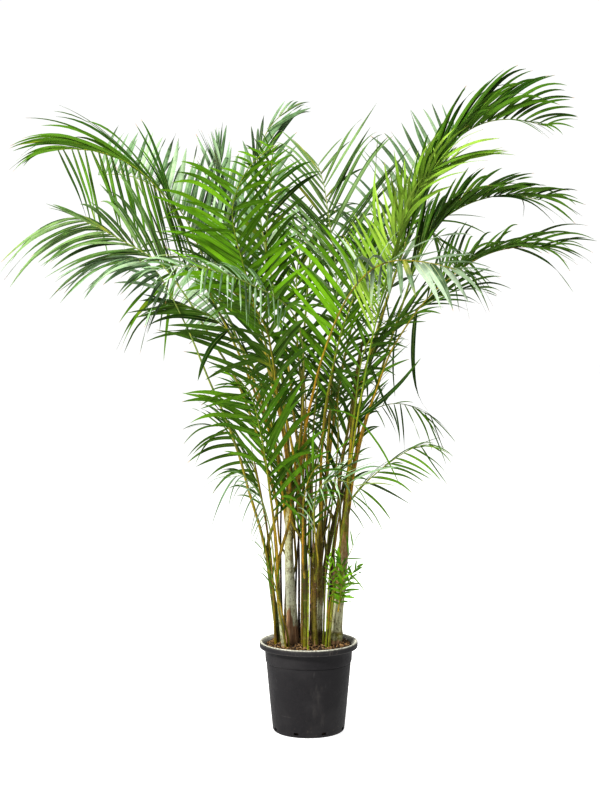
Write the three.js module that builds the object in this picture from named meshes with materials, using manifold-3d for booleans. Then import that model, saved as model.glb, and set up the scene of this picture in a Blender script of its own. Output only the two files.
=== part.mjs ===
// Potted areca palm: a moulded nursery pot, its soil, the canes that stand in the soil, and one solid for each
// feather-shaped frond (petiole, midrib and leaflets grow as one piece). Millimetres, +Z up.
// The origin is the middle of the pot's flat underside. -Y is the front.
import * as THREE from "three";
import { mergeVertices } from "three/addons/utils/BufferGeometryUtils.js";
import Module from "manifold-3d";

const wasm = await Module();
wasm.setup();

// ---------------------------------------------------------------- driving dimensions
const POT_HEIGHT = 252;
const RIM_R = 137; // outside of the rolled rim
const RIM_DEPTH = 17.5; // height of the rim band
const COLLAR_R = 122; // collar under the rim
const COLLAR_FOOT_R = 120; // where the collar meets the step
const STEP_Z = 194; // where the collar steps in to the tapered body
const BODY_TOP_R = 118;
const BODY_FOOT_R = 100.5;
const FOOT_ROUND = 8;
const WALL = 3.2;
const FLOOR = 4;
const POT_SIDES = 36;
const DRAIN_COUNT = 8; // drain slots cut through the foot of the wall
const DRAIN_W = 14;
const DRAIN_H = 7;
const GAP = 0.3; // clearance between separate pieces
const SOIL_Z = 244;
const SOIL_CROWN = 6.5; // how far the soil mounds up in the middle
const CANE_ROOT_Z = 188; // canes end this far down in the soil
const CANE_SIDES = 8;
const RACHIS_R = [4.8, 1.6]; // petiole base to tip
const RACHIS_SIDES = 4;
const RACHIS_STEPS = 11;
const LEAFLET_SHARE = 0.3; // share of a living frond's leaflets that is modelled
const LEAFLET_T = 2.2; // leaflet thickness at the blade's keel
const CLEAR = 0.7; // leaflets of different fronds keep at least this far apart

// Canes: name, centre line from soil to top "x,y,z ...", radii along it.
const CANES = [
  ["cane_1", "-83,-5,246 -94,-8,334 -105,-15,416 -113,-25,482", [9, 8, 7, 6.5]],
  ["cane_2", "-68,-65,250 -79,-70,346 -84,-75,407", [8, 7, 6]],
  ["cane_3", "-46,-15,250 -46,-15,318 -49,-18,369 -54,-24,482 -54,-30,595", [20, 17.5, 15.5, 13.5, 12]],
  ["cane_4", "-10,-75,247 -8,-72,352 -10,-68,462 -13,-66,530", [9, 9.5, 12, 11]],
  ["cane_5", "18,-50,247 15,-55,348 17,-60,446 20,-62,516", [12, 8.5, 8, 7]],
  ["cane_6", "29,0,250 32,0,366 32,0,478 34,0,582", [10, 9.5, 9, 8]],
  ["cane_7", "55,55,241 64,55,356 69,55,455", [8, 7.5, 7]],
  ["cane_8", "74,-15,253 79,-16,318 87,-17,397 96,-18,487 101,-18,579", [20, 17, 15, 14, 12]],
  ["cane_9", "-64,45,255 -61,50,356 -55,55,498 -49,60,597", [10, 9, 8, 7]],
  ["cane_10", "-13,50,254 -13,52,385 -13,55,512 -13,55,583", [13, 11, 10, 9]],
  ["cane_11", "24,85,252 39,85,379 61,82,523 78,80,594", [11, 10, 9, 8]],
];

// Fronds: name, leaf colour, leaflet width, midrib "x,y,z ..." from the petiole's base to the tip, then for each side
// [count, arch, "t,dx,dy,dz ..."]: leaflet tips measured from the midrib at the fraction t of its length.
// Last come odd leaflets that hang or curl on their own: [width, "x,y,z ..."].
const FRONDS = [
  ["frond_01", "dark", 17, "-58,30,629 -78,39,716 -100,49,802 -129,63,885 -161,78,967 -195,90,1048 -233,102,1129 -274,114,1207 -310,124,1288 -342,130,1371 -379,130,1452 -431,130,1524 -497,130,1584 -578,130,1620 -667,130,1632 -756,130,1626",
    [20, .1, ".508,-117,100,267 .61,-139,80,253 .678,-106,60,275 .712,-303,40,261 .746,-272,30,208 .78,-300,20,153 .814,-317,20,104 .831,-312,20,57 .864,-261,10,33 .898,-228,10,-7 .932,-176,0,-32 .966,-122,0,-40 1,-57,0,-31"], [19, -.03, ".508,121,-100,-165 .593,91,-100,-188 .678,70,-100,-193 .746,71,-100,-209 .78,62,-100,-227 .831,66,-100,-236 .864,87,-100,-239 .881,79,-100,-249 .915,96,-100,-245 .932,80,-100,-235 .966,92,-100,-212"], []],
  ["frond_02", "grey", 19, "-90,-20,649 -108,-24,713 -125,-29,776 -144,-37,839 -165,-48,901 -188,-60,962 -217,-73,1020 -251,-86,1075 -284,-95,1132 -317,-102,1189 -354,-112,1243 -393,-120,1295 -448,-120,1331 -506,-120,1363 -564,-120,1395 -624,-120,1423",
    [11, .06, ".661,-132,50,321 .712,-136,50,270 .763,-145,40,223 .814,-125,30,136 .847,-134,20,122 .898,-102,10,62 .949,-113,0,60 1,-80,0,29"], [15, .17, ".746,-246,-100,-83 .78,-246,-100,-69 .797,-226,-80,-46 .831,-198,-70,-35 .864,-196,-60,-56 .915,-186,-50,-72 .949,-209,-40,-133 .966,-230,-30,-108 1,-179,-20,-100"], []],
  ["frond_03", "pale", 20, "-118,-40,507 -132,-53,569 -149,-69,630 -166,-85,690 -181,-100,752 -199,-116,812 -220,-131,872 -243,-147,931 -267,-164,988 -290,-176,1048 -314,-186,1108 -340,-201,1165 -367,-220,1221 -397,-245,1273 -444,-270,1307 -506,-280,1302",
    [8, .16, ".797,-127,-20,80 .847,-141,-30,57 .898,-152,-40,4 .932,-162,-40,-37 1,-136,-40,-52"], [9, .16, ".797,-50,-100,-96 .831,-32,-100,-98 .881,-106,-100,-59 .898,-114,-100,-46 .932,-126,-100,-84 .966,-130,-90,-89 1,-142,-80,-64"], []],
  ["frond_04", "pale", 15, "-29,-68,641 -29,-76,704 -28,-86,768 -24,-102,830 -18,-119,892 -15,-136,954 -14,-153,1016 -17,-174,1077 -28,-200,1134 -55,-231,1182 -99,-265,1214 -149,-298,1238 -200,-328,1261 -257,-351,1278 -320,-364,1284 -382,-370,1274",
    [15, .3, ".61,-12,-40,-74 .678,7,-50,-83 .712,-1,-50,-88 .763,10,-50,-96 .797,-5,-60,-67 .847,-9,-60,-74 .881,-10,-60,-83 .915,-51,-50,-81 .966,-56,-40,-51 1,-71,-20,-38"], [13, .22, ".61,64,40,-19 .678,-58,60,82 .763,-82,60,49 .831,-98,60,37 .881,-112,50,31 .949,-112,30,12 1,-76,0,-18"], []],
  ["frond_05", "deep", 20, "-60,-20,565 -66,-31,616 -71,-41,666 -78,-52,717 -84,-61,768 -92,-70,818 -102,-82,868 -113,-96,917 -126,-111,965 -143,-127,1011 -166,-142,1055 -194,-158,1096 -229,-171,1132 -270,-180,1162 -316,-189,1183 -367,-190,1192",
    [9, .08, ".576,-73,40,152 .695,-84,40,139 .797,-104,30,114 .864,-154,20,50 .932,-143,10,9 1,-63,0,18"], [9, .1, ".525,-154,-40,82 .627,-233,-50,84 .712,-230,-50,43 .78,-154,-40,19 .847,-208,-30,2 .915,-160,-20,-13 .966,-103,-20,-20 1,-53,0,-16"], [[15, "-230,-200,1092 -250,-210,1087 -268,-220,1058 -281,-230,1027 -292,-230,988"], [8, "-316,-170,1193 -374,-170,1182 -422,-170,1163 -460,-170,1126 -481,-170,1086 -492,-170,1060"], [15, "-75,-160,1081 -125,-170,1047 -183,-180,1031 -231,-190,1015 -275,-200,989"]]],
  ["frond_06", "mid", 20, "-84,-80,450 -86,-87,489 -88,-95,528 -91,-105,566 -95,-118,603 -99,-131,640 -104,-145,677 -108,-159,714 -112,-173,750 -117,-187,787 -123,-201,824 -130,-215,860 -137,-227,897 -146,-241,933 -157,-260,966 -182,-280,987",
    [17, .05, ".525,-122,30,133 .644,-133,30,129 .729,-149,20,110 .814,-182,0,41 .881,-147,0,37 .966,-86,0,3 1,-39,0,-5"], [14, .08, ".271,152,-20,144 .475,143,-20,185 .576,133,-20,215 .678,113,-20,181 .78,90,-20,121 .831,68,-30,86 .898,44,-30,43 .966,34,-30,20"], []],
  ["frond_07", "deep", 15, "-94,0,366 -99,4,403 -104,7,440 -108,10,478 -112,11,516 -115,11,553 -119,10,591 -126,6,628 -134,1,664 -142,-4,701 -151,-10,737 -163,-15,773 -179,-24,806 -200,-39,833 -230,-49,853 -265,-60,860",
    [10, .08, ".508,-83,20,173 .627,-101,20,192 .746,-107,0,164 .831,-132,0,133 .898,-86,0,84 .966,-73,0,32 1,-79,0,-3"], [11, .18, ".458,-76,-40,22 .576,-113,-40,58 .678,-124,-40,-30 .763,-140,-40,-35 .814,-138,-30,-23 .898,-115,-30,-48 .966,-94,-20,-40 1,-77,0,-11"], []],
  ["frond_08", "pale", 10, "-82,-92,355 -84,-96,386 -87,-100,416 -90,-105,447 -93,-112,477 -96,-122,506 -98,-132,536 -102,-143,565 -106,-154,593 -112,-166,621 -119,-179,649 -127,-193,675 -139,-208,700 -154,-223,722 -176,-238,738 -205,-250,737",
    [7, .25, ".627,-65,20,70 .797,-72,20,61 .864,-76,10,25 .949,-72,0,-22 1,-68,0,-42"], [8, .28, ".576,-36,-40,-47 .729,-29,-40,-100 .831,-44,-40,-28 .898,-46,-30,-61 .949,-58,-30,-105 .983,-70,-20,-128 1,-81,0,-76"], []],
  ["frond_09", "bright", 13, "-83,40,529 -86,43,565 -88,46,602 -91,50,638 -96,56,674 -101,62,710 -108,69,745 -115,74,781 -123,77,816 -132,80,852 -143,84,886 -157,89,920 -175,95,952 -197,100,980 -225,100,1003 -257,100,1022",
    [7, .05, ".593,-74,0,130 .746,-85,0,91 .864,-69,0,52 .932,-63,0,34"], [6, .05, ".525,-49,0,53 .695,-85,0,43 .831,-84,0,29 .932,-60,0,14"], []],
  ["frond_10", "pale", 21, "-75,76,723 -94,104,794 -117,131,863 -142,162,931 -168,194,998 -195,226,1064 -224,258,1130 -254,289,1195 -282,320,1261 -311,350,1328 -341,377,1396 -375,399,1462 -424,422,1519 -486,437,1563 -560,441,1588 -638,440,1587",
    [14, .04, ".475,79,20,254 .559,78,30,307 .627,64,30,278 .695,52,30,235 .746,43,30,196 .78,40,30,180 .831,54,30,156 .864,52,20,141 .898,49,20,136 .932,51,20,134 .966,60,20,144 1,62,20,147"], [5, .05, ".424,-117,50,-80 .525,-106,50,-77 .627,-102,50,-118"], []],
  ["frond_11", "pale", 24, "-58,120,776 -72,153,832 -87,185,888 -102,216,945 -117,245,1002 -133,274,1060 -148,302,1118 -163,331,1176 -178,357,1235 -193,381,1295 -208,404,1356 -222,426,1417 -236,446,1478 -250,460,1542 -263,469,1606 -275,470,1672",
    [9, .04, ".508,-86,30,234 .627,-110,30,250 .712,-116,20,265 .814,-95,0,253 .881,-58,0,148 .949,-21,0,110 1,-6,0,67"], [9, .04, ".508,64,30,234 .627,60,30,244 .712,41,20,235 .814,41,0,172 .881,21,0,115 .949,13,0,129 1,6,0,67"], []],
  ["frond_12", "pale", 17, "-27,74,780 -38,100,848 -45,128,916 -53,154,984 -64,180,1051 -76,205,1118 -90,229,1186 -104,251,1254 -118,272,1322 -132,292,1391 -144,311,1460 -153,330,1530 -153,345,1601 -139,354,1672 -104,360,1735 -48,360,1781",
    [10, .12, ".508,118,40,190 .627,113,40,167 .729,111,30,158 .78,134,30,206 .847,145,20,145 .898,134,10,78 .949,93,0,53 1,57,0,9"], [9, .1, ".508,-101,50,217 .627,-101,40,173 .729,-51,30,140 .78,-4,30,164 .847,7,20,100 .881,50,10,112 .932,57,0,76 .983,37,0,33"], []],
  ["frond_13", "pale", 21, "119,55,767 126,89,832 142,112,898 160,133,963 178,161,1026 196,190,1088 214,218,1151 234,247,1214 255,277,1275 277,306,1336 300,333,1398 324,356,1461 350,378,1524 379,395,1587 411,405,1650 437,410,1716",
    [16, .04, ".492,-178,0,197 .576,-190,0,221 .627,-183,0,258 .678,-165,0,239 .712,-150,0,220 .763,-145,0,210 .797,-125,0,191 .831,-105,0,166 .864,-87,0,159 .898,-87,0,160 .932,-73,0,144 .966,-55,0,115 1,-37,0,78"], [8, .04, ".492,95,50,159 .627,85,50,156 .746,69,40,137 .847,47,30,116 .898,35,20,112 1,-3,0,57"], []],
  ["frond_14", "bright", 24, "-46,-60,599 -50,-78,670 -51,-97,741 -59,-117,811 -70,-138,880 -84,-158,950 -99,-175,1020 -116,-192,1089 -135,-210,1158 -154,-230,1226 -172,-250,1294 -190,-273,1362 -198,-302,1429 -178,-333,1492 -140,-363,1547 -84,-390,1584",
    [21, .07, ".475,-178,-30,129 .542,-211,-40,141 .593,-232,-50,165 .661,-199,-50,110 .695,-197,-60,104 .729,-206,-60,110 .763,-202,-60,102 .797,-172,-50,96 .831,-160,-40,100 .864,-84,-30,40 .898,-57,-20,17 .949,-45,-10,16 .983,-34,0,24"], [19, .05, ".475,142,50,103 .542,145,60,134 .593,142,60,145 .661,142,60,143 .695,134,60,165 .746,140,50,158 .78,140,50,162 .814,131,40,146 .847,101,30,125 .898,80,20,81 .932,42,10,52 .966,31,0,36"], []],
  ["frond_15", "dark", 20, "-16,-10,536 -22,-19,611 -29,-29,686 -39,-41,760 -52,-54,833 -67,-71,906 -84,-90,977 -99,-110,1048 -110,-130,1121 -114,-145,1195 -115,-156,1270 -114,-161,1346 -110,-160,1421 -104,-150,1496 -98,-138,1570 -96,-120,1644",
    [18, .06, ".424,-144,-20,167 .525,-181,-30,163 .61,-185,-30,152 .661,-173,-30,142 .712,-136,-30,105 .746,-90,-30,88 .78,-53,-20,53 .831,-38,-20,71 .864,-79,-10,98 .898,-64,0,97 .949,-28,0,65 .983,-16,0,36"], [15, .08, ".424,126,30,145 .525,112,40,138 .61,90,40,140 .678,80,40,127 .729,90,40,128 .763,96,40,103 .797,148,40,115 .831,156,30,113 .847,135,30,116 .881,89,20,51 .932,47,10,31 .983,29,0,28"], []],
  ["frond_16", "grey", 14, "49,30,699 52,38,759 55,46,819 59,54,879 64,61,939 69,70,998 74,80,1058 78,90,1117 80,97,1177 80,107,1237 78,121,1296 70,130,1355 62,140,1414 53,150,1473 45,161,1532 27,160,1589",
    [20, .06, ".441,184,40,218 .525,192,40,255 .61,204,40,266 .678,208,40,281 .729,200,40,276 .763,187,40,267 .797,168,30,298 .847,144,30,260 .864,143,30,211 .898,118,20,238 .932,125,20,243 .966,86,10,163 1,63,0,77"], [17, .06, ".525,-127,-20,140 .627,-155,-20,151 .695,-167,-20,170 .746,-183,-20,193 .797,-182,-20,194 .847,-122,-20,144 .881,-124,-10,150 .915,-152,0,164 .949,-146,0,157 1,-51,0,54"], []],
  ["frond_17", "bright", 22, "34,-60,640 33,-67,688 33,-75,735 34,-83,783 37,-93,830 41,-103,877 46,-115,923 54,-129,969 62,-144,1014 72,-157,1060 84,-169,1105 97,-182,1149 112,-199,1192 127,-209,1236 137,-219,1283 141,-220,1331",
    [13, .05, ".441,-139,-20,169 .559,-164,-20,179 .678,-158,-20,188 .746,-161,-20,195 .797,-159,-20,188 .847,-142,-20,174 .881,-120,-20,149 .915,-89,-20,120 .949,-59,-10,86 1,-37,0,63"], [10, .08, ".559,131,40,137 .678,125,40,132 .746,122,40,129 .831,98,30,120 .915,62,20,114 .983,29,0,101"], [[6, "44,-110,910 116,-130,892 186,-140,815 247,-150,700"]]],
  ["frond_18", "deep", 19, "-48,-120,661 -52,-130,702 -57,-139,742 -61,-149,783 -66,-160,823 -72,-172,863 -77,-184,903 -82,-196,943 -88,-206,983 -93,-216,1024 -99,-227,1064 -106,-238,1103 -120,-250,1142 -139,-264,1176 -166,-280,1204 -202,-290,1222",
    [9, .14, ".441,-101,-40,68 .627,-115,-50,51 .746,-127,-50,42 .864,-123,-40,13 .949,-97,-20,0 1,-70,0,3"], [9, .12, ".339,106,-20,107 .559,97,-20,117 .695,85,-20,114 .814,68,0,92 .898,43,0,71 .983,29,0,53"], []],
  ["frond_19", "mid", 18, "-2,30,615 -2,33,670 -3,36,726 -5,41,781 -9,48,836 -13,56,891 -18,65,946 -24,77,1000 -29,89,1054 -33,103,1108 -35,118,1162 -35,129,1216 -33,140,1270 -28,152,1324 -22,163,1379 -15,170,1434",
    [11, .06, ".288,-121,20,175 .492,-117,20,150 .627,-121,20,160 .746,-98,20,149 .864,-65,10,116 1,-20,0,80"], [11, .06, ".288,121,20,164 .492,130,20,150 .627,124,20,154 .763,102,20,136 .881,66,10,125 1,26,0,68"], []],
  ["frond_20", "deep", 13, "59,-20,593 64,-24,635 70,-27,676 74,-31,717 77,-35,759 80,-38,800 81,-42,842 80,-46,883 80,-50,925 83,-54,966 88,-59,1007 95,-70,1047 108,-84,1084 128,-101,1116 157,-119,1140 190,-140,1153",
    [13, .15, ".458,-93,-20,128 .576,-111,-20,128 .712,-111,-30,108 .814,-87,-30,99 .898,-63,-30,72 .949,-49,-20,56 1,-38,0,37"], [13, .18, ".407,93,0,93 .61,117,0,88 .729,143,0,54 .814,141,0,35 .898,99,0,29 .949,59,0,35 1,16,0,43"], []],
  ["frond_21", "dark", 17, "105,-60,654 107,-65,689 109,-71,724 111,-76,760 114,-83,795 116,-92,829 120,-100,864 124,-105,899 128,-110,934 131,-117,969 135,-124,1004 141,-131,1038 151,-138,1072 168,-145,1102 190,-152,1129 216,-160,1153",
    [8, .08, ".525,-92,-10,132 .661,-89,-10,131 .78,-69,-10,118 .864,-52,0,100 .932,-37,0,88 1,-16,0,74"], [8, .08, ".525,131,20,126 .729,111,20,106 .814,123,20,91 .915,125,20,68 1,106,0,58"], [[13, "116,-120,878 170,-130,911 239,-140,973 299,-150,1046"], [8, "156,-120,1067 181,-120,986 205,-130,927 229,-130,876"], [9, "122,-100,877 160,-100,936 217,-100,988"]]],
  ["frond_22", "mid", 16, "-16,-90,493 -16,-98,515 -16,-105,538 -16,-113,560 -16,-121,582 -16,-131,604 -15,-141,626 -15,-151,647 -13,-161,668 -10,-171,689 -5,-182,710 2,-193,730 11,-206,747 23,-219,762 40,-230,774 60,-240,784",
    [8, .1, ".22,-68,0,115 .475,-74,0,118 .678,-41,0,121 .831,13,0,119 .932,57,0,90 1,63,0,55"], [8, .18, ".169,78,-30,81 .576,104,-30,36 .746,110,-30,9 .881,117,-30,6 1,94,0,8"], []],
  ["frond_23", "pale", 12, "25,-100,494 23,-108,517 20,-115,540 18,-122,562 16,-132,584 14,-142,605 13,-154,626 13,-166,647 16,-178,668 21,-189,688 30,-201,706 44,-216,719 61,-230,727 80,-243,728 102,-253,724 122,-260,714",
    [8, .2, ".254,-51,-30,64 .458,-37,-30,63 .678,23,-40,-65 .814,29,-40,-80 .915,41,-30,-72 1,39,0,-68"], [8, .14, ".39,54,0,112 .661,85,0,83 .78,132,0,65 .881,114,0,48 .949,131,0,34 1,94,0,0"], []],
  ["frond_24", "mid", 15, "-35,0,478 -37,0,508 -39,1,538 -41,1,567 -44,0,597 -47,-2,626 -50,-5,656 -54,-8,685 -59,-11,714 -65,-14,743 -72,-18,771 -80,-22,800 -89,-25,828 -100,-30,855 -113,-34,881 -128,-40,906",
    [9, .08, ".254,-97,0,123 .475,-108,0,127 .678,-117,0,106 .847,-104,0,80 1,-60,0,55"], [9, .08, ".254,70,0,139 .475,75,0,138 .678,66,0,123 .847,40,0,119 1,11,0,88"], []],
  ["frond_25", "mid", 15, "72,40,515 75,43,544 77,45,573 80,48,602 83,51,630 86,54,660 89,58,688 92,61,717 96,63,746 101,65,775 109,66,803 119,67,830 131,70,858 144,75,884 157,81,910 171,87,935",
    [9, .08, ".254,-68,0,134 .492,-71,0,138 .678,-56,0,143 .847,-36,0,136 1,-9,0,111"], [9, .08, ".254,85,0,89 .492,98,0,82 .678,102,0,93 .847,94,0,91 1,71,0,82"], []],
  ["frond_26", "dark", 24, "87,38,712 102,50,796 121,66,878 146,79,961 171,88,1043 196,98,1124 222,109,1205 249,116,1287 277,122,1368 305,131,1449 334,140,1529 374,140,1605 430,140,1669 506,140,1709 591,140,1716 674,140,1697",
    [23, .09, ".508,45,20,249 .593,44,20,213 .644,63,20,220 .678,93,20,236 .712,115,20,217 .746,141,20,200 .78,169,20,214 .797,175,20,208 .814,178,20,178 .847,168,20,146 .864,172,10,109 .898,183,10,95 .915,176,10,66 .949,138,10,43 .966,121,0,20 1,77,0,17"], [19, .1, ".508,90,-50,173 .593,89,-50,177 .678,108,-50,165 .729,116,-50,152 .78,137,-50,139 .831,141,-50,94 .864,170,-40,62 .898,163,-30,39 .915,85,-30,-52 .932,77,-30,-51 .966,61,-20,-30 .983,64,-10,-23 1,68,0,3"], []],
  ["frond_27", "lime", 15, "100,-97,624 106,-108,688 112,-122,752 120,-139,815 128,-160,877 138,-179,939 148,-196,1001 159,-212,1064 171,-228,1127 184,-244,1189 198,-261,1252 214,-275,1314 233,-285,1376 256,-297,1436 286,-300,1494 326,-300,1546",
    [17, -.05, ".525,-74,-20,179 .61,-91,-20,161 .661,-92,-20,179 .712,-62,-20,128 .746,-56,-20,114 .78,-36,-20,138 .814,-26,-20,122 .847,-18,-20,144 .864,-3,-10,83 .915,0,-10,64 .949,14,0,74 1,-10,0,56"], [15, .03, ".542,76,20,211 .661,71,20,213 .729,90,20,241 .763,105,20,214 .814,136,20,197 .864,122,20,160 .898,179,20,181 .915,219,10,142 .949,214,10,93 1,179,0,38"], [[8, "204,-270,1282 178,-260,1360 167,-260,1458 172,-260,1548 177,-260,1625"]]],
  ["frond_28", "deep", 22, "115,-10,676 130,-10,746 145,-10,816 164,-12,885 184,-17,954 205,-20,1023 226,-20,1091 248,-20,1160 270,-27,1228 291,-31,1296 318,-30,1362 362,-30,1419 421,-30,1458 489,-30,1482 560,-30,1490 630,-30,1475",
    [19, .1, ".559,39,20,209 .644,36,20,147 .678,53,20,131 .729,50,20,115 .746,77,20,120 .78,96,20,102 .814,107,20,86 .831,129,20,76 .864,123,10,60 .898,114,10,26 .932,119,10,13 .966,108,0,27 1,98,0,19"], [17, .12, ".559,83,-40,148 .678,91,-40,126 .746,108,-40,87 .797,116,-40,58 .847,126,-30,34 .881,132,-30,-50 .915,145,-30,-57 .932,147,-20,-49 .966,132,-10,-22 1,104,0,8"], [[6, "541,-60,1495 569,-70,1488 583,-70,1461 581,-70,1426"]]],
  ["frond_29", "grey", 15, "114,-30,636 121,-44,701 129,-59,765 140,-75,828 158,-93,890 179,-113,949 198,-135,1009 220,-157,1067 252,-177,1122 286,-200,1174 328,-217,1222 376,-230,1265 430,-241,1303 491,-240,1328 556,-240,1338 622,-240,1332",
    [17, .14, ".644,51,20,199 .695,51,20,177 .729,54,20,170 .763,51,20,103 .78,84,20,111 .814,79,20,83 .847,71,20,81 .881,115,20,67 .898,148,20,53 .932,196,10,52 .966,163,0,21 1,91,0,10"], [16, .18, ".644,104,-50,133 .712,132,-50,102 .763,164,-50,86 .797,177,-50,41 .847,195,-40,23 .881,187,-30,-19 .932,121,-20,-40 .966,110,-10,-18 1,114,0,23"], []],
  ["frond_30", "palest", 19, "-24,-100,739 -17,-115,795 -10,-131,850 0,-151,905 12,-172,959 24,-193,1012 40,-215,1065 58,-238,1117 78,-264,1166 102,-294,1212 132,-325,1252 168,-361,1282 216,-392,1297 267,-421,1294 320,-445,1284 375,-460,1268",
    [10, .18, ".729,-8,-40,-83 .763,-2,-40,-74 .797,3,-50,-94 .831,21,-50,-80 .847,54,-50,-84 .881,59,-50,-96 .915,34,-40,-81 .949,60,-30,-69 1,59,0,-42"], [9, .1, ".576,-70,50,144 .678,-58,60,106 .746,159,60,111 .763,212,60,114 .797,198,60,64 .847,163,50,23 .915,146,40,10 .949,121,30,-9 1,94,0,-12"], [[17, "158,-370,1276 139,-380,1303 119,-400,1303 116,-410,1272 121,-410,1228"], [17, "189,-390,1291 164,-400,1310 145,-420,1292 142,-430,1259 147,-430,1217"]]],
  ["frond_31", "deep", 17, "117,61,696 127,68,743 137,74,790 142,80,836 145,88,883 149,96,929 159,103,975 173,108,1020 193,114,1063 220,120,1101 252,128,1136 288,136,1165 328,141,1190 370,140,1212 415,140,1229 462,140,1238",
    [13, .08, ".407,54,0,174 .508,64,0,168 .593,66,0,152 .661,80,0,145 .729,107,0,138 .78,145,0,129 .847,155,0,94 .898,150,0,63 .949,133,0,27 1,86,0,11"], [11, .08, ".407,93,-20,100 .593,99,-20,55 .678,127,-20,51 .78,115,-20,27 .864,99,-20,-16 .932,137,-10,10 1,94,0,-11"], [[13, "310,100,1190 298,90,1119 295,80,1029 304,80,955 318,80,918 338,80,890"], [5, "254,100,1147 242,90,1077 239,80,1001 245,80,927"]]],
  ["frond_32", "grey", 10, "67,70,439 72,73,482 78,76,526 84,80,570 91,87,613 99,94,656 107,102,699 116,112,741 127,122,782 140,133,823 159,143,862 190,151,891 231,160,905 274,170,905 315,170,891 354,170,870",
    [7, .12, ".746,44,0,-65 .814,37,0,-100 .864,22,0,-81 .898,58,0,-99 .949,65,0,-100 1,47,0,-70"], [8, .1, ".525,39,0,113 .644,48,0,98 .729,47,0,91 .797,35,0,35 .847,84,0,-19 .932,83,0,-38 1,67,0,-78"], []],
  ["frond_33", "grey", 12, "86,-50,486 87,-53,517 88,-56,548 91,-62,577 96,-70,606 104,-80,634 116,-93,660 131,-108,683 149,-120,704 171,-127,725 193,-134,745 216,-141,764 240,-148,782 266,-151,798 294,-150,810 325,-150,816",
    [10, .14, ".356,50,-20,-59 .508,88,-30,-93 .593,106,-30,-25 .678,100,-30,-20 .78,94,-20,-45 .864,93,-20,-66 .932,81,-10,-55 1,54,0,-38"], [9, .1, ".356,73,20,79 .508,69,20,77 .61,79,20,79 .729,107,20,67 .831,102,20,32 .915,96,10,-1 1,59,0,-22"], []],
  ["frond_34", "bright", 12, "53,-50,297 55,-50,314 56,-50,331 57,-50,348 60,-50,366 62,-50,382 66,-49,399 70,-50,416 75,-52,432 81,-56,448 88,-59,463 96,-63,478 104,-67,492 112,-71,507 118,-76,522 124,-80,538",
    [5, .12, ".305,42,0,22 .492,48,0,-13 .661,60,0,-35 .763,58,0,-15 1,19,0,36"], [4, .1, ".356,-26,0,98 .61,-23,0,79 .763,-11,0,82 1,0,0,47"], []],
  ["frond_35", "mid", 10, "-65,-69,310 -68,-71,324 -72,-73,339 -75,-75,354 -78,-77,368 -82,-79,383 -86,-81,398 -90,-84,412 -94,-87,427 -99,-90,441 -103,-93,455 -108,-96,470 -113,-99,484 -118,-102,498 -123,-106,512 -127,-110,526",
    [3, .08, ".424,-51,0,61 .695,-44,0,54 1,-22,0,36"], [3, .08, ".424,14,0,83 .695,11,0,76 1,0,0,46"], []],
  ["frond_36", "dark", 20, "-30,75,637 -27,88,718 -21,102,799 -19,112,880 -19,128,959 -16,154,1037 -12,186,1112 -6,222,1185 -1,263,1256 5,310,1322 12,366,1382 19,430,1431 25,507,1457 30,588,1450 31,659,1411 30,720,1357",
    [12, .14, ".45,-181,-1,84 .55,-201,32,119 .65,-189,99,140 .75,-144,175,96 .85,-102,228,-42 .93,-75,185,-159 1,-45,168,-154"], [12, .14, ".45,182,-38,76 .55,209,-11,112 .65,212,56,134 .75,173,147,96 .85,124,217,-44 .93,76,179,-167 1,46,165,-159"], []],
  ["frond_37", "mid", 20, "45,95,637 55,106,716 64,117,795 74,129,874 87,146,951 102,170,1026 119,198,1100 138,230,1171 160,265,1240 187,304,1304 221,348,1362 262,398,1410 309,454,1441 363,512,1435 411,562,1396 450,600,1337",
    [12, .14, ".45,-157,97,67 .55,-156,134,104 .65,-105,184,129 .75,-23,212,101 .85,67,232,-45 .93,63,169,-174 1,72,136,-170"], [12, .14, ".45,125,-115,88 .55,161,-107,119 .65,201,-58,132 .75,214,16,99 .85,227,84,-42 .93,172,71,-166 1,138,77,-165"], []],
  ["frond_38", "mid", 20, "-51,76,677 -59,92,750 -72,104,823 -85,119,895 -100,140,966 -118,167,1033 -139,198,1097 -163,233,1159 -190,271,1218 -222,313,1270 -259,360,1316 -302,412,1347 -351,467,1346 -398,518,1318 -436,562,1272 -470,600,1217",
    [12, .14, ".45,-133,-102,81 .55,-172,-87,107 .65,-212,-34,112 .75,-236,45,36 .85,-215,80,-95 .93,-157,74,-168 1,-127,82,-160"], [12, .14, ".45,140,104,71 .55,132,147,101 .65,83,199,112 .75,-11,239,38 .85,-59,221,-101 .93,-48,165,-171 1,-62,137,-162"], []],
  ["frond_39", "dark", 18, "-40,75,567 -44,96,625 -49,116,683 -54,136,741 -58,161,798 -63,190,852 -69,224,904 -75,263,951 -81,308,993 -89,360,1024 -96,418,1043 -103,479,1044 -108,537,1023 -110,589,990 -111,631,945 -110,670,897",
    [10, .14, ".45,-111,-7,47 .55,-130,27,58 .65,-133,85,42 .75,-107,126,-31 .85,-74,120,-85 .93,-46,91,-121 1,-28,85,-112"], [10, .14, ".45,107,22,50 .55,115,60,61 .65,107,116,43 .75,83,143,-30 .85,60,129,-81 .93,45,97,-115 1,27,88,-109"], []],
  ["frond_40", "deep", 18, "45,110,537 48,129,590 52,146,644 55,165,698 58,186,750 61,213,800 64,245,846 67,281,890 70,322,930 71,368,962 70,421,982 70,477,985 70,529,964 70,576,932 70,614,891 70,650,847",
    [10, .14, ".45,-102,13,47 .55,-115,40,59 .65,-116,91,43 .75,-90,128,-28 .85,-63,117,-81 .93,-42,90,-110 1,-26,82,-104"], [10, .14, ".45,105,1,44 .55,118,30,59 .65,112,92,46 .75,91,127,-30 .85,65,115,-84 .93,44,88,-112 1,26,81,-105"], []],
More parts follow.
